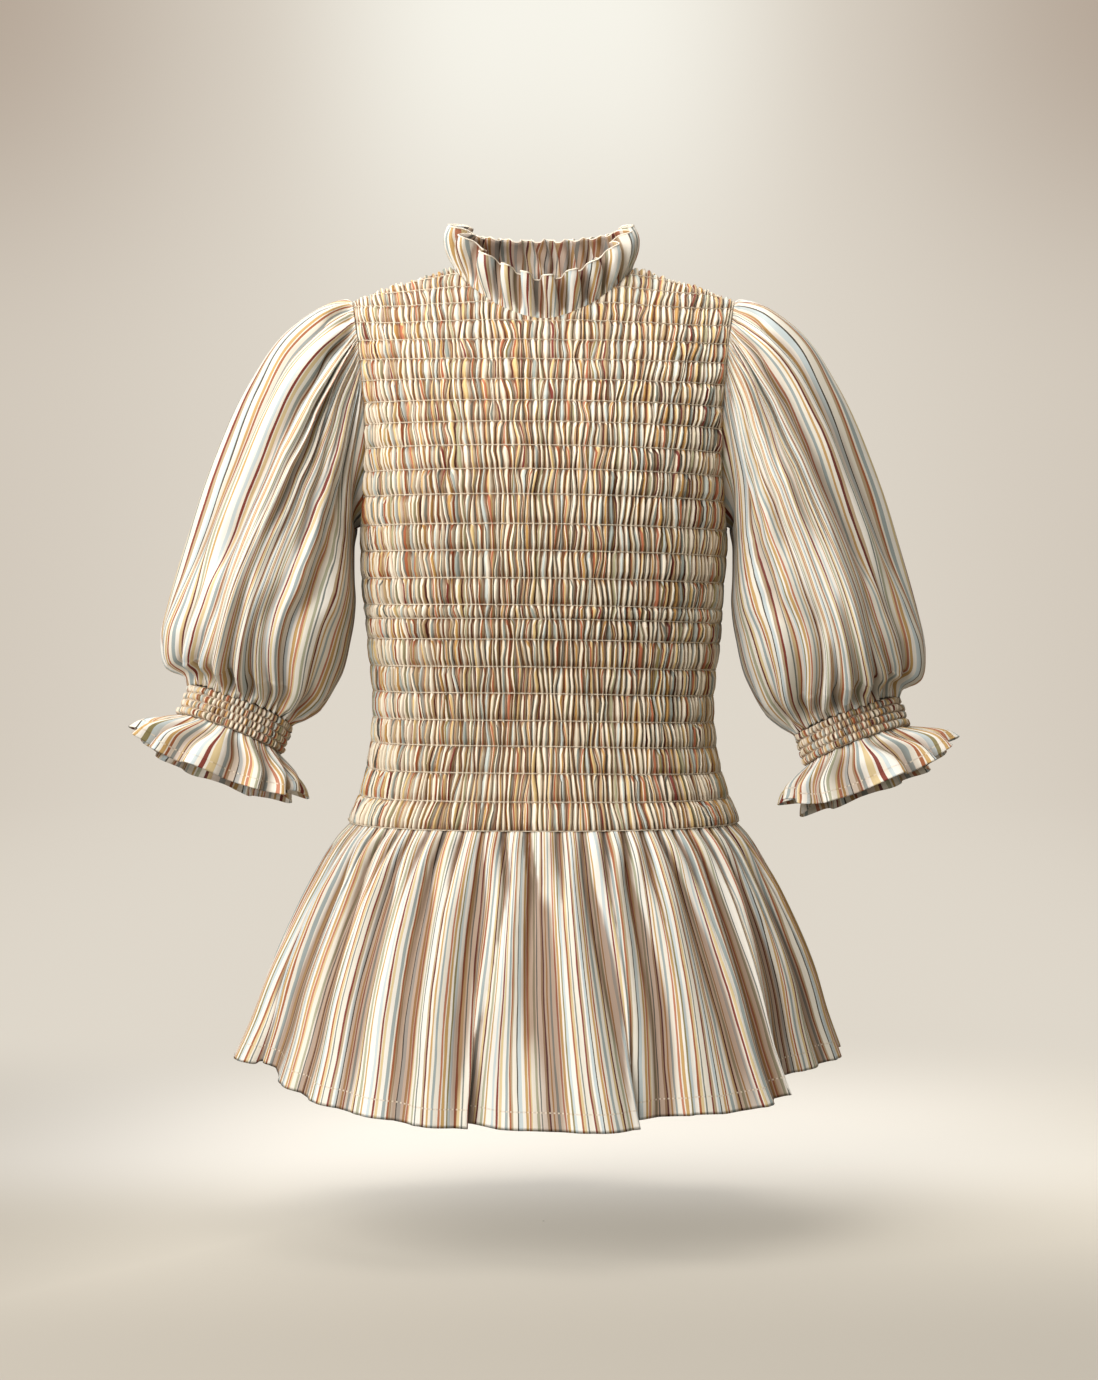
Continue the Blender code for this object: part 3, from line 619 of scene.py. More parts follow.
        # The panel's upper edge on its right half: neckline, shoulder line, then armhole
        neckAcross, neckUp = self.neckCurve()
        armAcross, armUp = self.armholeCurve(80)
        between = np.linspace(neckAcross[-1], armAcross[-1], 30)[1:-1]
        across = np.concatenate([neckAcross, between, armAcross[::-1]])
        up = np.concatenate([neckUp, np.interp(between, self.across, self.ups[-1]), armUp[::-1]])
        return np.maximum.accumulate(across), up


smocking = Values(
    pleats=96,  # puffs across a panel
    samples=6,  # columns of points for one puff
    rowGaps=(24, 23.5, 22.3, 21, 22.4, 22, 22.7, 17, 11.4, 22, 22.3, 21.5, 24, 20.5, 19.5, 20)
    + (18.5, 19, 19, 19, 19, 19, 19, 19, 19, 20),
    bandShares=(0, 0.08, 0.3, 0.7, 0.92),
    rowSlope=0.012,  # rows lie lower towards the wearer's left
    puff=3.9, bulge=0.1,
    drift=0.45,  # how far a pleat strays, over many rows and from row to row
    stray=0.42, wave=0.14, lean=0.75, uneven=0.42,
    shift=0.42,  # how far the stripes shift from band to band
    fullness=2.0, thread=0.42,
    threadDip=0.65,  # how much a thread follows the puffs that it crosses
    pinch=0.44,  # how much of a puff's height is left at a row
    sidePinch=0.34,  # and how much more at the side seams
    seamHeight=0.25,  # how much is left at the upper seams
    wall=1.2, steps=(4, 4), closed=False, slot="smocked_cotton", flat=(0.70, 0.50), area=0.29,
)


def pleatRelief(place, rowPlace, pitch, seed, pinch, stagger=0.0):
    # Puffs between two rows of stitches: each pleat is a rounded ridge, |sin| to a low power, that
    # narrows and sinks at the rows. Its line strays a little from row to row, and its crest leans
    # to either side. Stagger shifts every other band by that share of a pleat.
    band = np.floor(rowPlace)
    arch = np.sin(np.pi * (rowPlace - band))
    phase = place / pitch + stagger * (band % 2)
    stray = smocking.drift * softNoise(phase / 9, rowPlace / 5, seed)
    stray = stray + smocking.stray * softNoise(phase / 1.45, rowPlace, seed + 1)
    stray = stray + smocking.wave * arch * softNoise(phase / 1.25, rowPlace * 2 + 0.5, seed + 2)
    lean = smocking.lean * softNoise(phase / 1.2 + 9, rowPlace * 0.8, seed + 4)
    ridge = np.abs(np.sin(np.pi * phase + lean * np.sin(tau * phase) / 2))
    shape = ridge ** (0.5 + 3.6 * (1 - arch) ** 2)
    uneven = 1 + smocking.uneven * softNoise(phase * 0.93 + 5, rowPlace * 0.9, seed + 3)
    height = smocking.puff * (pinch + (1 - pinch) * smooth(arch, -0.1, 0.55)) * uneven * shape
    return height + smocking.bulge * arch**0.7, stray * pitch, phase, shape


def gatheredCloth(phase, rowPlace, pitch, seed):
    # The place across the flat cloth: most of it lies in the steep sides of the puffs, and each
    # band of puffs shows slightly other stripes
    band = np.floor(rowPlace)
    change = band + smooth(rowPlace - band, 0.86, 1)
    strayed = phase + smocking.shift * softNoise(phase / 1.9, change, seed)
    return smocking.fullness * pitch * (strayed + 0.5 * np.sin(tau * phase) / tau)


def makeBodice(part, material, thread):
    # The panel's grid is cut at its upper edge, and points past it are gathered onto the edge
    panel = BodyPanel(part)
    edgeAcross, edgeUp = panel.topEdge()
    armAcross, armUp = panel.armholeCurve(24)
    neckAcross = np.interp(np.linspace(0.72, 0.999, 8), (0, 1), (0, panel.neckCurve()[0][-1]))
    columns = np.linspace(-panel.half, panel.half, smocking.pleats * smocking.samples + 1)
    columns = np.sort(np.concatenate([columns, armAcross, -armAcross, neckAcross, -neckAcross]))
    rowUps = np.concatenate([[0], np.cumsum(smocking.rowGaps)])
    bands = np.arange(len(rowUps))
    shares = np.array(smocking.bandShares)
    level = np.interp(np.append((bands[:-1, None] + shares).ravel(), bands[-1]), bands, rowUps)
    pitch = 2 * panel.half / smocking.pleats
    seed, offset = (20, 0) if part == "front" else (40, 900)
    sides = smooth(np.abs(columns), 0.82 * panel.half, 0.97 * panel.half)
    pinch = smocking.pinch + smocking.sidePinch * sides
    stray = pleatRelief(columns, np.interp(level, rowUps, bands)[:, None], pitch, seed, pinch)[1]
    across = columns + stray * smooth(panel.half - np.abs(columns), 0, 12)
    slope = smocking.rowSlope * across
    top = np.interp(np.abs(across), edgeAcross, edgeUp)
    up = np.minimum(level[:, None] - slope * np.clip(level[:, None] / 60, 0, 1), top)
    rowPlace = np.interp(up + slope * np.clip(up / 60, 0, 1), rowUps, bands)
    height, _, phase, shape = pleatRelief(columns, rowPlace, pitch, seed, pinch)
    # Distance to the upper edge, where the seams hold the pleats flat
    beside = np.interp(up, armUp, armAcross) - np.abs(across)
    beside = np.where(up < armUp[0], 1e3, np.maximum(beside, 0))
    above = top - up
    distance = above * beside / np.maximum(np.hypot(above, beside), 1e-6)
    held = smocking.seamHeight + (1 - smocking.seamHeight) * smooth(distance, 0, 9)
    base = panel.points(across, up)
    normal = panel.normals(across, up)
    outer = base + normal * (height * held - 0.3)[..., None]
    inner = base - normal * smocking.wall
    ends = np.isclose(np.abs(across), panel.half)
    for grid in (outer, inner):
        grid[0, :, 2] = body.waistZ + body.seam / 2
        grid[..., 1] = np.where(ends, panel.facing * body.seam / 2, grid[..., 1])
    # A thread lies on each row's crowns, dips a little between them, and sinks at the upper edge
    some = (slice(None, -1, len(shares)), slice(4, -4, 3))
    crown = height[some[0]]
    for shift in (1, 2, 3):
        near = [np.roll(crown, turn, axis=1) for turn in (shift, -shift)]
        crown = np.maximum(crown, np.maximum(*near))
    dip = smocking.threadDip
    lift = ((1 - dip) * crown[:, some[1]] + dip * height[some]) * held[some] + 0.3
    lift = np.where(above[some] > 6, lift, -0.6)
    paths = base[some] + normal[some] * lift[..., None]
    name = f"{part}_bodice_threads"
    makeThreads(name, paths, normal[some], smocking.thread, thread)
    cloth = paired(gatheredCloth(phase, rowPlace, pitch, seed + 5) + offset, up)
    gap = np.abs(rowPlace - np.round(rowPlace)) * np.mean(smocking.rowGaps)
    # Painted shade between the puffs, deepest in the gaps between pleats
    valley = (1 - shape) ** 1.35
    names = (f"{part}_bodice_cloth", f"bodice_{part}")
    makeShell(*names, outer, inner, cloth, valley, gap, smocking, material)


collar = Values(
    waves=25, columns=500, rows=32, gap=1.4, wall=1.0,
    height=columnsOf("angle height", (0, 33), (60, 37), (100, 41), (140, 38), (180, 36)),
    profile=columnsOf(
        "rise lean wave",
        (-0.1, 0, 0.2), (0.06, 0, 0.5), (0.25, 1.9, 2.6), (0.5, 4.6, 4.4), (0.8, 6.6, 5.6),
        (1, 6.0, 6.0),
    ),
    squareness=1.3,
    fine=1.4,  # small gathers at the seam
    overhang=1.1,  # how far a wave's sides lean over
    crestDrop=5.0,  # its sides end this much lower than a pointed peak would
    sideLean=10.0,  # the sides lean back in by this much at the top
    topUneven=1.4,
    troughDrop=3.2,  # the top edge is this much lower in the waves' troughs
    edge=0.8,  # the rolled edge along the top
    # insideShade is painted shade on the inside of the collar
    insideShade=0.58, steps=(2, 1), closed=True, slot="striped_cotton", flat=(0.60, 0.04),
    area=0.024,
)


def makeCollar(material, edgeMaterial):
    # A gathered ruffle that stands on the neckline: it leans out and its waves deepen as it rises
    angles = np.linspace(0, 360, collar.columns + 1)
    turn = np.radians(angles)
    folded = np.where(angles > 180, 360 - angles, angles)
    wide, depths = body.neckHalfWidth, body.neckHalfDepth
    seamZ = np.empty(len(angles))
    for part, here in (("front", folded <= 90), ("back", folded > 90)):
        panel = BodyPanel(part)
        points = panel.points(*panel.neckCurve())
        along = np.degrees(np.arctan2(points[:, 0] / wide, -points[:, 1] / depths[part]))
        order = np.argsort(along)
        seamZ[here] = np.interp(folded[here], along[order], points[order, 2])
    height = ease(folded, collar.height.angle, collar.height.height)
    below = (seamZ + height).max() - collar.crestDrop - seamZ - height
    height = height + below - 3 * np.logaddexp(0, below / 3)
    deep = np.where(np.cos(turn) > 0, depths.front, depths.back)
    out = unit(np.stack([deep * np.sin(turn), -wide * np.cos(turn)], axis=1))
    base = np.stack([wide * np.sin(turn), -deep * np.cos(turn)], axis=1)
    profile = collar.profile
    rise = -0.1 + 1.1 * np.linspace(0, 1, collar.rows + 1)[:, None] ** 0.9
    lean = ease(rise, profile.rise, profile.lean)
    wave = ease(rise, profile.rise, profile.wave)
    place = angles / 360 * collar.waves
    wander = 0.5 * softNoise(place * 12 / 25, rise * 0.5, 61, 12)
    uneven = 1 + 0.4 * softNoise(place * 17 / 25, rise * 0.8, 62, 17)
    turned = tau * (place + wander)
    ripple = flatWave(turned, collar.squareness)
    fine = np.abs(np.sin(np.pi * (2.6 * place + 0.7 * np.sin(turn)))) ** 0.8 * 2 - 1.2
    fine = collar.fine * fine * fading(rise, 0.42, 2) * smooth(rise, -0.1, 0.1)
    sideShare = np.abs(np.sin(turn)) ** 3
    lean = lean - collar.sideLean * sideShare * np.maximum(rise, 0) ** 2.2
    reach = lean - collar.gap + wave * uneven * ripple * (1 + 0.35 * sideShare) + fine
    tangent = np.stack([-out[:, 1], out[:, 0]], axis=1)
    sideways = -collar.overhang * np.sin(2 * turned) * smooth(rise, 0.1, 0.7)
    level = base + out * reach[..., None] + tangent * sideways[..., None]
    trough = collar.troughDrop * np.maximum(-ripple, 0) ** 2
    top = collar.topUneven * softNoise(place * 12 / 25 + 3, rise * 0, 64, 12) - trough
    z = seamZ + rise * (height + 1 + top)
    outer = np.concatenate([level, z[..., None]], axis=2)
    inner, normal = lining(outer, collar)
    cloth = paired(angles / 360 * collar.flat[0] * 1000 + 300, rise * height)
    makeThreads("collar_edge", outer[-1:], normal[-1:], collar.edge, edgeMaterial)
    # Painted shade in the hollows of the collar's waves
    valley = smooth(hollows(outer, normal, True), 0.0, 1.5)
    names = ("collar_ruffle_cloth", "collar_ruffle")
    makeShell(*names, outer, inner, cloth, valley, noStitch, collar, material)


# Sections of the peplum by their share of the way down, and its folds by their angle from the
# middle of each panel
peplum = Values(
    columns=420, rows=90, wall=1.1,
    sections=columnsOf(
        "drop halfWidth front back",
        (0.00, 163, 112, 108), (0.08, 175, 121, 117), (0.22, 190.5, 132, 128),
        (0.42, 210, 146, 141), (0.65, 229, 162, 156), (0.84, 241, 175, 167), (1.00, 253, 186, 177),
    ),
    length=Values(side=187.0, front=230.0, back=222.0), hemCurve=1.5,
    tucks=31,  # how many there are at the waist, where each pair joins into one wider fold below
    tuckHeight=5.2, gather=5.0, sway=2.0,
    lean=1.1,  # how far a fold's crest leans over the next trough
    hemLift=0.35, hemLine=14.0,
    folds=Values(
        front=columnsOf(
            "angle depth",
            (-90, 0), (-75, 11), (-64, -12), (-52, 3), (-34, 13), (-14, 9), (-9, -8), (-3, 7),
            (9, 13), (18, -9), (27, -6), (37, 9), (45, 4), (54, -14), (74, -2), (90, -3),
        ),
        back=columnsOf(
            "angle depth",
            (-90, 0), (-73, 12), (-59, -13), (-50, 2), (-34, 12), (-24, -14), (-10, 4), (5, 14),
            (17, -12), (30, 3), (44, 13), (58, -14), (74, -2), (90, -3),
        ),
    ),
    steps=(4, 1), closed=False, slot="striped_cotton", flat=(0.78, 0.23), area=0.165,
)


def makePeplum(part, material):
    # Sections from waist to hem, with folds that deepen downwards and gathers that fade from the
    # waist: the finest end first, and each pair of them joins into one wider fold
    facing, seed, offset = (-1, 70, 0) if part == "front" else (1, 80, 900)
    angles = np.linspace(-90, 90, peplum.columns + 1)
    share = (angles + 90) / 180
    drop = np.linspace(0, 1, peplum.rows + 1)[:, None] ** 1.12
    side, ahead = sectionShares(np.radians(angles))
    middle = np.abs(np.cos(np.radians(angles))) ** peplum.hemCurve
    length = peplum.length.side + (peplum.length[part] - peplum.length.side) * middle
    drift = 2.0 * softNoise(angles / 22, drop * 2.4, seed) * np.sin(np.pi * drop)
    folds = halfWaves(angles + drift, peplum.folds[part], 0.2)
    warp = share + 0.012 * softNoise(share * 13, drop * 1.2, seed + 1) * smooth(drop, 0, 0.2)
    tube = np.abs(np.sin(np.pi * peplum.tucks * warp)) ** 0.75 * 2 - 1.2
    fine = peplum.tuckHeight * tube * smooth(drop, -0.04, 0.06)
    fine = fine * (0.22 + 0.78 * fading(drop, 0.32, 1.6))
    fine = fine * (1 + 0.4 * softNoise(share * 29 + 2, drop * 1.3, seed + 4))
    uneven = 1 + 0.35 * softNoise(share * 21, drop * 1.3, seed + 2)
    turned = np.pi * peplum.tucks * warp + 1
    middling = flatWave(turned + 0.4 * np.sin(turned), 1.1) * uneven
    middling = middling * peplum.gather * smooth(drop, 0.02, 0.3)
    middling = middling * (1 - 0.35 * smooth(drop, 0.5, 1))
    wide = peplum.sway * np.sin(tau * 7.5 * share + 2) * smooth(drop, 0.05, 0.3)
    gathers = (fine + middling + wide) * np.minimum(1, (90 - np.abs(angles)) / 6)
    sections = peplum.sections
    halfWidth = ease(drop, sections.drop, sections.halfWidth)
    depth = ease(drop, sections.drop, sections[part])
    out = unit(np.stack([depth * side, facing * halfWidth * ahead], axis=-1))
    reach = folds * drop**1.9 + gathers
    level = np.stack([halfWidth * side, facing * depth * ahead], axis=-1) + out * reach[..., None]
    tangent = np.stack([out[..., 1], -out[..., 0]], axis=-1) * facing
    quiet = 1 - smooth(np.abs(angles), 52, 84)
    level += tangent * (peplum.lean * folds * drop**2.2 * quiet)[..., None]
    lift = np.maximum(-folds, 0) * peplum.hemLift * drop**2
    waist = body.waistZ - body.seam / 2
    outer = np.concatenate([level, (waist - length * drop + lift)[..., None]], axis=2)
    inner, normal = lining(outer, peplum)
    for grid in (outer, inner):
        grid[0, :, 2] = waist
        grid[:, (0, -1), 1] = facing * body.seam / 2
    run = np.linalg.norm(np.diff(outer[-1], axis=0), axis=1)
    down = length * drop
    cloth = paired(np.concatenate([[0], run.cumsum()]) + offset, -down)
    stitch = length - down - peplum.hemLine
    # Painted shade in the hollows of the peplum's folds and gathers
    valley = smooth(hollows(outer, normal, False), 0.1, 1.6)
    names = (f"{part}_peplum_cloth", f"peplum_{part}")
    makeShell(*names, outer, inner, cloth, valley, stitch, peplum, material)


sleeve = Values(
    columns=256, rows=156, wall=1.1, power=2.2,
    # Sections down the arm on the wearer's left: the outer end, the end under the arm, half the
    # depth, the middle in depth, the lean of the section, and how deep the folds run there
    sections=columnsOf(
        "outerX outerZ underX underZ halfDepth middleY lean fold",
        (184, -33, 158.5, -224, 63, -3, 0, 0.15), (218, -56, 160.0, -234, 71, -5, 1, 0.45),
        (247, -99, 160.0, -247, 77, -8, 2, 0.8), (277, -165, 159.5, -264, 80, -11, 4, 1.0),
        (298, -226, 158.5, -284, 81, -15, 6, 1.0), (314, -281, 162.0, -311, 79, -19, 8, 1.0),
        (320, -314, 171.0, -345, 72, -22, 10, 0.8), (314, -335, 187.0, -369, 58, -24, 11, 0.5),
    ),
    folds=columnsOf(
        "angle depth",
        (12, 4), (45, -7), (78, 8), (128, -5), (165, 2), (200, -3), (232, 8), (270, -8), (305, 6),
        (340, -5),
    ),
    foldDrift=8.0,
    slim=8.0,  # the outer side lies this much nearer the arm halfway down
    # Lines of the cloth, drawn after the stripes' own slant: their angles on the cloth, then their
    # angles on the arm at shares of the way down, where the first and last stay at 0 and 180
    clothAngles=(0, 48, 90, 128, 158, 180),
    clothLines=columnsOf(
        "down outer middle inner under",
        (0, 42, 54, 70, 90), (0.04, 52, 66, 88, 118), (0.09, 63, 81, 104, 140),
        (0.16, 70, 89.5, 112, 150), (0.3, 72, 92, 114, 152), (0.6, 66, 88, 108, 146),
        (0.85, 60, 86, 108, 142), (1, 45, 86, 124, 156),
    ),
    # Creases: angle at the top and at the foot, start and end down the arm, depth and width
    creaseDepth=0.68,
    creases=(
        (120, 118, 0.02, 0.70, -7.0, 12), (147, 145, 0.02, 0.74, 9.0, 7),
        (-118, -116, 0.02, 0.78, -5.0, 12), (-146, -143, 0.02, 0.74, 7.0, 7),
        (26, 14, 0.03, 0.72, 5.0, 6), (50, 40, 0.0, 0.66, 11.0, 6), (72, 68, 0.02, 0.55, 5.0, 5),
        (88, 82, 0.0, 0.52, 12.0, 5.5), (112, 124, 0.05, 0.52, 5.0, 5),
        (132, 143, 0.08, 0.70, 6.0, 6), (33, 24, 0.60, 1.2, 4.0, 5), (58, 63, 0.70, 1.2, 5.0, 5),
        (82, 88, 0.64, 1.2, 5.0, 5), (106, 101, 0.72, 1.2, 4.0, 5), (138, 131, 0.58, 1.2, 6.0, 6),
        (-8, -4, 0.03, 0.60, 5.0, 6), (-34, -22, 0.03, 0.85, 6.0, 7),
        (-60, -66, 0.04, 0.58, 5.0, 6), (-86, -78, 0.03, 0.88, 6.5, 7),
        (-118, -127, 0.07, 0.66, 6.0, 6), (-20, -14, 0.66, 1.2, 4.0, 5),
        (-48, -54, 0.62, 1.2, 5.0, 6), (-75, -71, 0.70, 1.2, 4.5, 5),
        (-104, -98, 0.60, 1.2, 5.5, 6), (-140, -134, 0.66, 1.2, 5.0, 6),
    ),
    # Gathers: how many there are round the arm, and their height
    capFine=(29, 2.0), capWide=(15, 4.2), cuffFine=(38, 2.0), cuffWide=(19, 4.2), long=(11, 1.8),
    capLength=7.0, capGap=0.45, drop=Values(left=10.0, right=0.0), steps=(4, 1), closed=True,
    slot="striped_cotton", flat=(0.54, 0.37), area=0.17,
)
cuff = Values(
    outer=(297.0, -353.0),  # x and z of its ends, at the outer side and under the arm
    under=(213.0, -385.0), halfDepth=38.0, middleY=-26.0, lean=12.0, length=26.0, bands=4, puffs=70,
    samples=5, bandRows=8, puff=0.85, pinch=0.3, stagger=0.4, wall=1.2, steps=(4, 4), closed=True,
    slot="smocked_cotton", flat=(0.38, 0.028), area=0.0106,
)


def ringFrame(outer, under, lean):
    # Half the width and three directions: from under to outer, to the front, and down the arm
    across = np.array([outer[0] - under[0], 0.0, outer[1] - under[1]])
    width = np.linalg.norm(across)
    across /= width
    down = np.array([across[2], 0.0, -across[0]])
    tip = np.radians(lean)
    front = np.array([0, -np.cos(tip), 0]) - down * np.sin(tip)
    along = np.array([0, -np.sin(tip), 0]) + down * np.cos(tip)
    return width / 2, across, front, along


def cuffFrame():
    # The cuff's own ring frame, with its middle
    x, z = (np.array(cuff.outer) + cuff.under) / 2
    return *ringFrame(cuff.outer, cuff.under, cuff.lean), np.array([x, cuff.middleY, z])


def lowered(points, side):
    # The wearer's left arm hangs a little lower; the right one is its mirror image
    top, bottom = body.tipZ, cuff.outer[1]
    share = np.clip((top - points[..., 2]) / (top - bottom), 0, 1)
    outwards = np.clip((points[..., 0] - body.tipX) / 60, 0, 1)
    points = points.copy()
    points[..., 2] -= share * outwards * sleeve.drop[side]
    return points * ((1, 1, 1) if side == "left" else (-1, 1, 1))


def sleeveRings(turn):
    # Rings of the sleeve without its gathers, from the armhole seam to the cuff
    top, bottom = body.tipZ, body.armhole.z[-1]
    heights = (top + bottom) / 2 + (top - bottom) / 2 * np.cos(turn)
    seam = np.empty((len(turn), 3))
    for part, here in (("front", np.sin(turn) >= 0), ("back", np.sin(turn) < 0)):
        panel = BodyPanel(part)
        curve = panel.points(*panel.armholeCurve(80))
        for k in range(3):
            seam[here, k] = np.interp(heights[here], curve[:, 2], curve[:, k])
    seam += (sleeve.capGap, 0, 0)
    outerShare, frontShare = (
        powered(wave, 2 / sleeve.power)[:, None] for wave in (np.cos(turn), np.sin(turn))
    )
    swell = unit((seam - seam[:-1].mean(axis=0)) * (0, 1, 1))
    swell[:, 2] *= np.where(swell[:, 2] > 0, 0.2, 0.6)
    rings = [seam, seam + sleeve.capLength * (np.array([0.8, 0, 0]) + 0.55 * swell)]
    sections = sleeve.sections
    for outerX, outerZ, underX, underZ, depth, middleY, lean, _ in zip(*sections.values()):
        halfWidth, across, front, _ = ringFrame((outerX, outerZ), (underX, underZ), lean)
        centre = np.array([(outerX + underX) / 2, middleY, (outerZ + underZ) / 2])
        rings.append(centre + outerShare * halfWidth * across + frontShare * depth * front)
    halfWidth, across, front, along, centre = cuffFrame()
    for step in (9.0, body.seam / 2):
        spread = 1 + step / 60
        ring = centre - along * step + outerShare * halfWidth * spread * across
        rings.append(ring + frontShare * cuff.halfDepth * spread * front)
    return np.array(rings), outerShare[:, 0]


def gatherTurns(kind, warp):
    # How often a kind of gather turns at each place, and its height
    count, height = sleeve[kind]
    return tau * count * warp, height


def makeSleeve(side, material):
    # A smooth surface through the rings, then folds, cap gathers and cuff gathers along its normals
    around = np.linspace(0, 360, sleeve.columns + 1)
    signed = np.where(around > 180, around - 360, around)
    tableAngles = np.linspace(0, 360, 721)
    rings, outerTable = sleeveRings(np.radians(tableAngles))
    steps = np.linalg.norm(np.diff(rings, axis=0), axis=2).mean(axis=1)
    knots = np.concatenate([[0], steps.cumsum()])
    total = knots[-1]
    place = np.linspace(0, 1, sleeve.rows + 1)
    place = (place - 0.4 * np.sin(tau * place) / tau) * total
    down = place[:, None]
    share, fromCuff = down / total, total - down
    # Most of the cloth is gathered at the top of the armhole, and it hangs down from there
    lines = sleeve.clothLines
    levels = [ease(place / total, lines.down, lines[name]) for name in list(lines)[1:]]
    chart = np.stack([0 * place, *levels, 180 + 0 * place])
    angles = np.sign(signed) * ease(np.abs(signed), np.array(sleeve.clothAngles), chart).T % 360
    turn = np.radians(angles)
    table = ease(place, knots, rings)
    left = np.minimum((angles * 2).astype(int), 719)
    rows = np.arange(len(place))[:, None]
    base = mix(table[rows, left], table[rows, left + 1], (angles * 2 - left)[..., None])
    base[:, -1] = base[:, 0]
    outerShare = np.interp(angles, tableAngles, outerTable)
    normal = gridNormals(base, True)
    normal[:, -1] = normal[:, 0]
    depth = np.interp(down, knots[2:-2], sleeve.sections.fold, left=0.1, right=0.3)
    drift = sleeve.foldDrift * np.sin(share * np.pi)
    folds = halfWaves((around + drift) % 360, sleeve.folds) * depth
    seed = 100 if side == "left" else 120
    capShare = np.clip(1.2 + np.cos(turn), 0, 1)
    warp = around / 360 + 0.008 * softNoise(around / 360 * 24, down / 60, seed, 24)
    uneven = 1 + 0.5 * softNoise(around / 360 * 18, down / 50, seed + 1, 18)
    turned, height = gatherTurns("capFine", warp)
    capFine = height * np.sin(turned) * fading(down, 34, 1.5) * smooth(down, 0, 5)
    turned, height = gatherTurns("capWide", warp)
    tube = 2 * np.abs(np.sin(turned / 2 + 0.4 * np.sin(turned))) ** 0.75 - 1.3
    capWide = height * tube * fading(down, 120, 1.6) * smooth(down, 2, 30)
    turned, height = gatherTurns("cuffFine", warp)
    cuffFine = height * np.sin(turned) * fading(fromCuff, 16, 1.5)
    turned, height = gatherTurns("cuffWide", warp)
    cuffWide = height * np.sin(turned + 2) * fading(fromCuff, 62, 1.6) * smooth(fromCuff, 0, 14)
    turned, height = gatherTurns("long", warp)
    long = height * np.sin(turned + 1) * smooth(down, 40, 120) * smooth(fromCuff, 30, 90)
    placed = sleeve.creaseDepth * creases(around, share, sleeve.creases)
    placed = placed * smooth(down, 0, 12) * smooth(fromCuff, 0, 10)
    gathers = (capFine + capWide * uneven) * capShare + cuffFine + (cuffWide + long) * uneven
    clear = np.clip((1 - outerShare) * 2 - 3, 0, 1) * smooth(fromCuff, 20, 60)
    slim = sleeve.slim * np.maximum(np.cos(turn), 0) * np.sin(np.pi * np.minimum(share, 0.9) / 0.9)
    reach = (folds + gathers + placed) * (1 - clear) - slim
    outer = base + normal * reach[..., None]
    inner, facing = lining(outer, sleeve)
    cloth = paired(around / 360 * sleeve.flat[0] * 1000, -down)
    cloth = cloth + (0 if side == "left" else 700, 0)
    # Painted shade in the hollows of the sleeve's folds
    valley = 0.45 * smooth(hollows(outer, facing, True), 0.3, 2.6)
    outer, inner = lowered(outer, side), lowered(inner, side)
    names = (f"{side}_sleeve_cloth", f"sleeve_{side}")
    makeShell(*names, outer, inner, cloth, valley, noStitch, sleeve, material)


def makeCuff(side, material):
    # The same puffs as the bodice, round the cuff's oval
    halfWidth, across, front, along, centre = cuffFrame()
    turn = np.linspace(0, tau, cuff.puffs * cuff.samples + 1)
    rowPlace = np.linspace(0, cuff.bands, cuff.bands * cuff.bandRows + 1)[:, None]
    girth = tau * math.sqrt((halfWidth**2 + cuff.halfDepth ** 2) / 2)
    pitch = girth / cuff.puffs
    arc = turn / tau * girth
    seed = 140 if side == "left" else 150
    height, _, phase, shape = pleatRelief(arc, rowPlace, pitch, seed, cuff.pinch, cuff.stagger)
    fade = smooth(arc, 0, 12) * smooth(girth - arc, 0, 12)
    height = height * cuff.puff * fade + height[:, :1] * cuff.puff * (1 - fade)
    down = body.seam / 2 + rowPlace / cuff.bands * (cuff.length - body.seam)

    def ring(reach):
        # The oval widened by the reach, down the cuff
        wide = np.cos(turn) * (halfWidth + reach)
        deep = np.sin(turn) * (cuff.halfDepth + reach)
        points = centre + wide[..., None] * across + deep[..., None] * front
        points = points + down[..., None] * along
        points[:, -1] = points[:, 0]
        return lowered(points, side)

    outer, inner = ring(height - 0.2), ring(np.full_like(height, -cuff.wall))
    cloth = paired(gatheredCloth(phase, rowPlace, pitch, seed + 5) + 200, -down)
    gap = np.abs(rowPlace - np.round(rowPlace)) * cuff.length / cuff.bands
    # Painted shade between the cuff's puffs, with some on their crests as well
    valley = 0.12 + 0.88 * (1 - shape) ** 1.2
    names = (f"{side}_cuff_cloth", f"cuff_{side}")
    makeShell(*names, outer, inner, cloth, valley, gap, cuff, material)


ruffle = Values(
    waves=13, columns=364, rows=36, wall=1.0,
    profile=columnsOf(
        "drop halfWidth halfDepth wave",
        (0, 44, 37, 1.0), (0.25, 54, 42, 4.0), (0.6, 66, 47, 6.6), (1, 72, 52, 8.0),
    ),
    ends=23.0,  # its length at the ends of the oval, and between them
    middle=41.0,
    power=2.7,  # the hem's oval is squarer than the cuff's
    backLift=5.0,  # the hem sits this much higher at the back of the arm
    fine=0.9,  # small gathers at the seam
    hemLine=8.0, steps=(4, 2), closed=True, slot="striped_cotton", flat=(0.45, 0.038), area=0.0171,
)


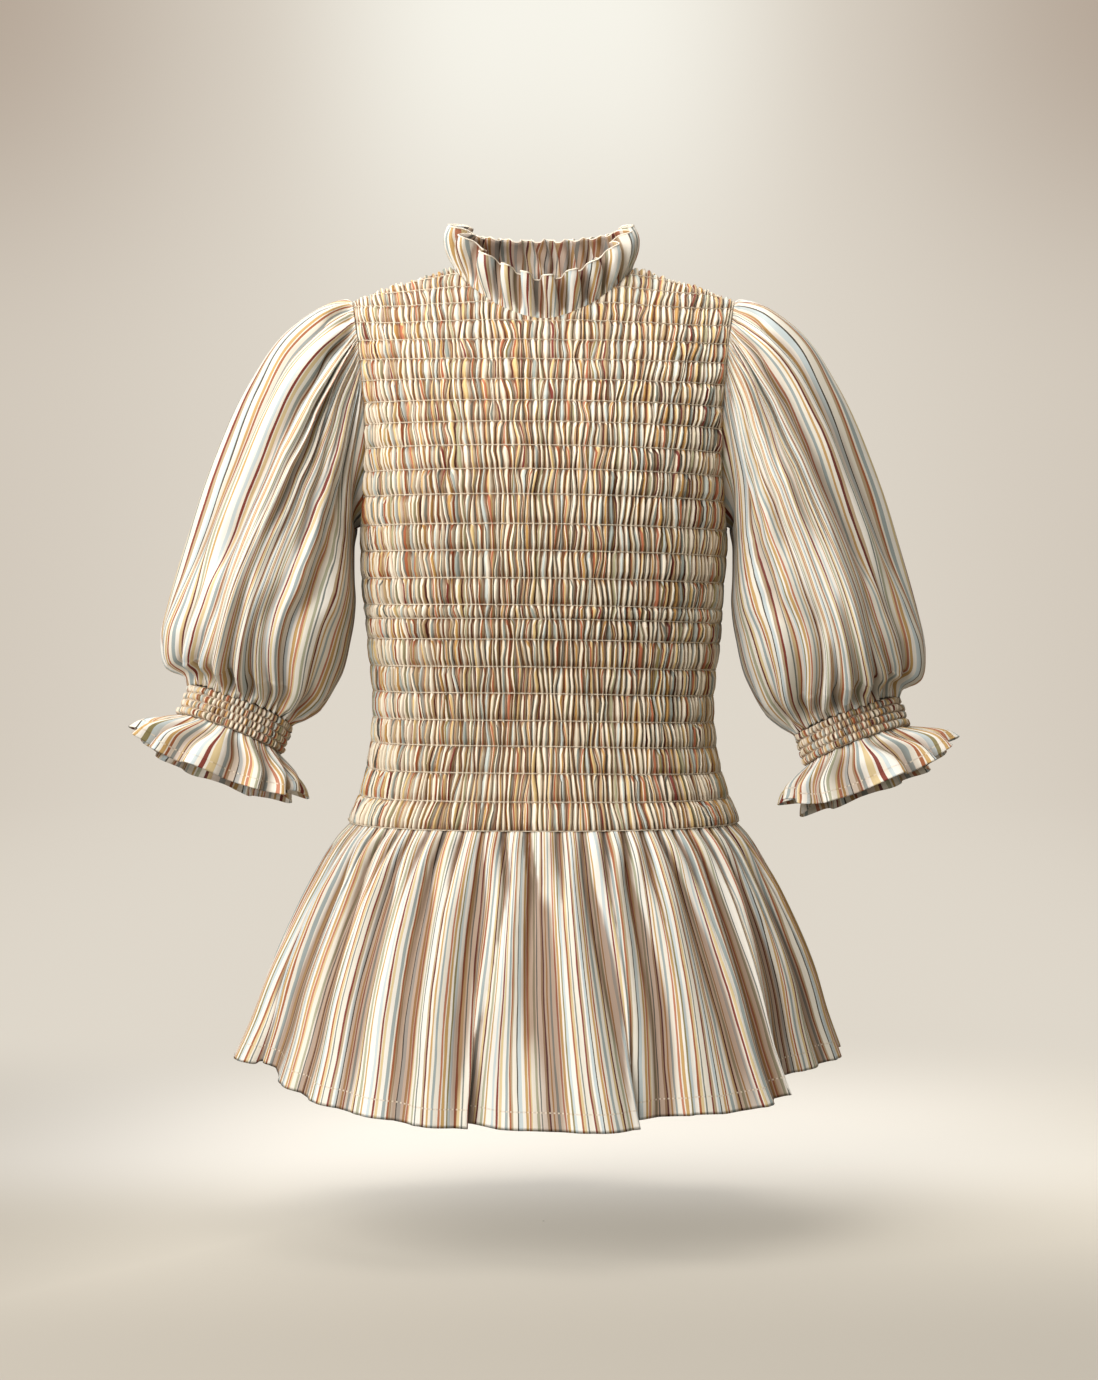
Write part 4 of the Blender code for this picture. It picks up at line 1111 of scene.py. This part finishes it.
def makeRuffle(side, material):
    # A gathered flounce below the cuff: it flares to its two ends and its waves deepen to the hem
    _, across, front, along, centre = cuffFrame()
    centre = centre + along * (cuff.length + body.seam / 2)
    angles = np.linspace(0, 360, ruffle.columns + 1)
    turn = np.radians(angles)
    length = ruffle.middle + (ruffle.ends - ruffle.middle) * np.cos(turn) ** 4
    length = length - ruffle.backLift * np.maximum(-np.sin(turn), 0)
    drop = np.linspace(0, 1, ruffle.rows + 1)[:, None]
    seed = 160 if side == "left" else 170
    count = ruffle.waves
    place = angles / 360 * count
    wander = 0.3 * softNoise(place, drop * 1.2, seed, count)
    uneven = 1 + 0.5 * softNoise(place, drop, seed + 1, count)
    ripple = flatWave(tau * (place + wander + 0.12 * drop), 1.0)
    fine = ruffle.fine * np.sin(tau * (3 * place + 0.5 * np.sin(2 * turn)))
    profile = ruffle.profile
    reach = ease(drop, profile.drop, profile.wave) * ripple * uneven + fine * fading(drop, 0.3, 2)
    power = 2 / (2 + (ruffle.power - 2) * smooth(drop, 0, 0.6))
    wide = powered(np.cos(turn), power) * (ease(drop, profile.drop, profile.halfWidth) + reach)
    deep = powered(np.sin(turn), power) * (ease(drop, profile.drop, profile.halfDepth) + reach)
    down = length * drop
    outer = centre + wide[..., None] * across + deep[..., None] * front + down[..., None] * along
    inner, _ = lining(outer, ruffle)
    cloth = paired(angles / 360 * ruffle.flat[0] * 1000 + 400, -down)
    stitch = length - down - ruffle.hemLine
    # Painted shade in the troughs of the ruffle's waves, fading in from the seam
    valley = 0.7 * smooth(-ripple, -0.2, 1) * smooth(drop, 0, 0.3)
    outer, inner = lowered(outer, side), lowered(inner, side)
    names = (f"{side}_cuff_ruffle_cloth", f"cuff_ruffle_{side}")
    makeShell(*names, outer, inner, cloth, valley, stitch, ruffle, material)


# The studio, in metres: colours, where each tone starts and ends, and the lights' places, sizes,
# powers and colours
studio = Values(
    floorZ=-0.811, radius=7.0, sweep=2.0, wallTop=6.0, ambient=0.3,
    ambientColour=(1.0, 0.905, 0.76),
    tones=Values(
        # Painted light: floorGlow, pool, wall, glow and corner are colours that glow, with pool a
        # painted pool of light and corner painted darker corners; floorNear is painted shade on the
        # lit floor
        floor=(0.72, 0.70, 0.66), floorNear=(0.46, 0.44, 0.41), floorGlow=(0.60, 0.58, 0.54),
        pool=(0.78, 0.77, 0.75), wall=(0.875, 0.845, 0.795), glow=(0.97, 0.96, 0.92),
        corner=(0.70, 0.64, 0.58),
    ),
    wallEnds=(0.3, 1.1), cornerEnds=(0.3, 2.2), highEnds=(0.2, 1.9), glowEnds=(0.1, 1.1),
    behindEnds=(-0.1, 0.35), poolEnds=(0.1, 1.0), lampEnds=(0.05, -0.6), nearEnds=(0.3, -0.5),
    lightTarget=(0, 0, -0.33),
    lights=Values(
        key_light=((-1.13, -1.27, 0.6), 1.9, 60.0, (1.0, 0.98, 0.955)),
        top_light=((0.0, 0.0, 1.7), 1.8, 38.0, (1.0, 0.97, 0.93)),
        fill_light=((2.4, -1.6, 0.2), 1.6, 0.5, (1.0, 0.93, 0.86)),
    ),
)
view = Values(
    lens=73.66, sensor=36.0, near=0.05, far=50.0,
    place=(0.0047, -2.4, -0.28), tilt=88.174,
)


def addLight(name, place, size, power, colour):
    # A square soft light at a place, turned to face the target
    light = bpy.data.lights.new(name, "AREA")
    light.shape, light.size, light.energy, light.color = "SQUARE", size, power, colour
    lamp = bpy.data.objects.new(name, light)
    lamp.location = place
    x, y, z = np.array(place) - np.array(studio.lightTarget)
    lamp.rotation_euler = (math.atan2(math.hypot(x, y), z), 0, math.atan2(x, -y))
    bpy.context.scene.collection.objects.link(lamp)


def floorMaterial():
    # The floor takes light and shadow near the blouse, and fades into a backdrop that glows with
    # painted light: a wide painted bright patch high behind the blouse, darker away from it
    paint = Paint("studio_floor")
    tones = Values((name, shown(colour)) for name, colour in studio.tones.items())
    x, y, z = paint.axes("ShaderNodeTexCoord", {}, 3)
    aside = paint.maths("ABSOLUTE", x)
    backdrop = paint.slope(y, studio.wallEnds)
    # Painted light on the backdrop: a glow that is brighter high in the middle and darker towards
    # the sides, most of all high up
    edge = paint.slope(aside, studio.cornerEnds)
    high = paint.slope(z, studio.highEnds)
    glow = high * paint.slope(aside, studio.glowEnds, 1.0, 0.0)
    wall = paint.blend(edge * (0.35 + 0.65 * high), tones.wall, tones.corner)
    wall = paint.blend(glow, wall, tones.glow)
    # Painted light on the floor: it glows, with a brighter painted pool of light behind the blouse
    pool = paint.slope(y, studio.behindEnds) * paint.slope(aside, studio.poolEnds, 1.0, 0.0)
    floorGlow = paint.blend(pool, tones.floorGlow, tones.pool)
    # Painted shade: the lit floor is darker towards the camera and to the left
    lamp, near = paint.slope(x, studio.lampEnds), paint.slope(y, studio.nearEnds)
    floor = paint.blend(paint.maths("MAXIMUM", lamp, near), tones.floor, tones.floorNear)
    return paint.finish({
        "Emission Color": paint.blend(backdrop, floorGlow, wall),
        "Emission Strength": 1.0,
        "Base Color": paint.blend(backdrop, floor, (0, 0, 0, 1)),
        "Roughness": 0.9,
        "Specular IOR Level": 0.0,
    })


def makeFloor():
    # A round floor that sweeps up into a far wall: radius and height follow a quarter circle
    sweep, flatReach = studio.sweep, studio.radius - studio.sweep
    turn = np.linspace(0, tau, 97)
    bend = np.linspace(0, np.pi / 2, 17)[1:]
    flat = np.linspace(0.001, flatReach, 12)
    out = np.concatenate([flat, flatReach + sweep * np.sin(bend), [studio.radius]])
    up = np.concatenate([0 * flat, sweep - sweep * np.cos(bend), [studio.wallTop]])
    x, y = out[:, None] * np.cos(turn), out[:, None] * np.sin(turn)
    points = np.stack([x, y, np.broadcast_to(up[:, None] + studio.floorZ, x.shape)], axis=-1)
    mesh = newMesh("studio_floor", points, gridFaces(np.arange(x.size).reshape(x.shape)).tolist())
    floor = addMesh(mesh, floorMaterial(), 1e-4, False)
    floor.visible_diffuse = floor.visible_glossy = False  # it doesn't tint the cloth


def makeStudio():
    # Floor, an even light from all round, and the lamps
    makeFloor()
    world = bpy.data.worlds.new("studio_light")
    world.use_nodes = True
    background = world.node_tree.nodes["Background"]
    background.inputs["Color"].default_value = (*studio.ambientColour, 1)
    background.inputs["Strength"].default_value = studio.ambient
    bpy.context.scene.world = world
    for name, light in studio.lights.items():
        addLight(name, *light)
    bpy.context.scene.view_settings.view_transform = "Standard"


def makeCamera():
    # Level with the middle of the sleeves, 2.4 m in front, tipped down a little
    camera = bpy.data.cameras.new("front_camera")
    camera.lens, camera.sensor_width = view.lens, view.sensor
    camera.clip_start, camera.clip_end = view.near, view.far
    holder = bpy.data.objects.new("front_camera", camera)
    holder.location = view.place
    holder.rotation_euler = (math.radians(view.tilt), 0, 0)
    bpy.context.scene.collection.objects.link(holder)
    bpy.context.scene.camera = holder


makeCamera()
makeStudio()
print("studio ready")
striped, smocked = (clothMaterial(name) for name in cottons)
threadCotton = threadMaterial("sewing_thread", (0.68, 0.60, 0.50), (0.92, 0.88, 0.80))
edgeCotton = threadMaterial("rolled_edge", (0.86, 0.80, 0.71), (0.96, 0.93, 0.87))
for part in ("front", "back"):
    makeBodice(part, smocked, threadCotton)
    makePeplum(part, striped)
print("bodice and peplum ready")
makeCollar(striped, edgeCotton)
for side in ("left", "right"):
    makeSleeve(side, striped)
    makeCuff(side, smocked)
    makeRuffle(side, striped)
print("collar, sleeves and cuffs ready")
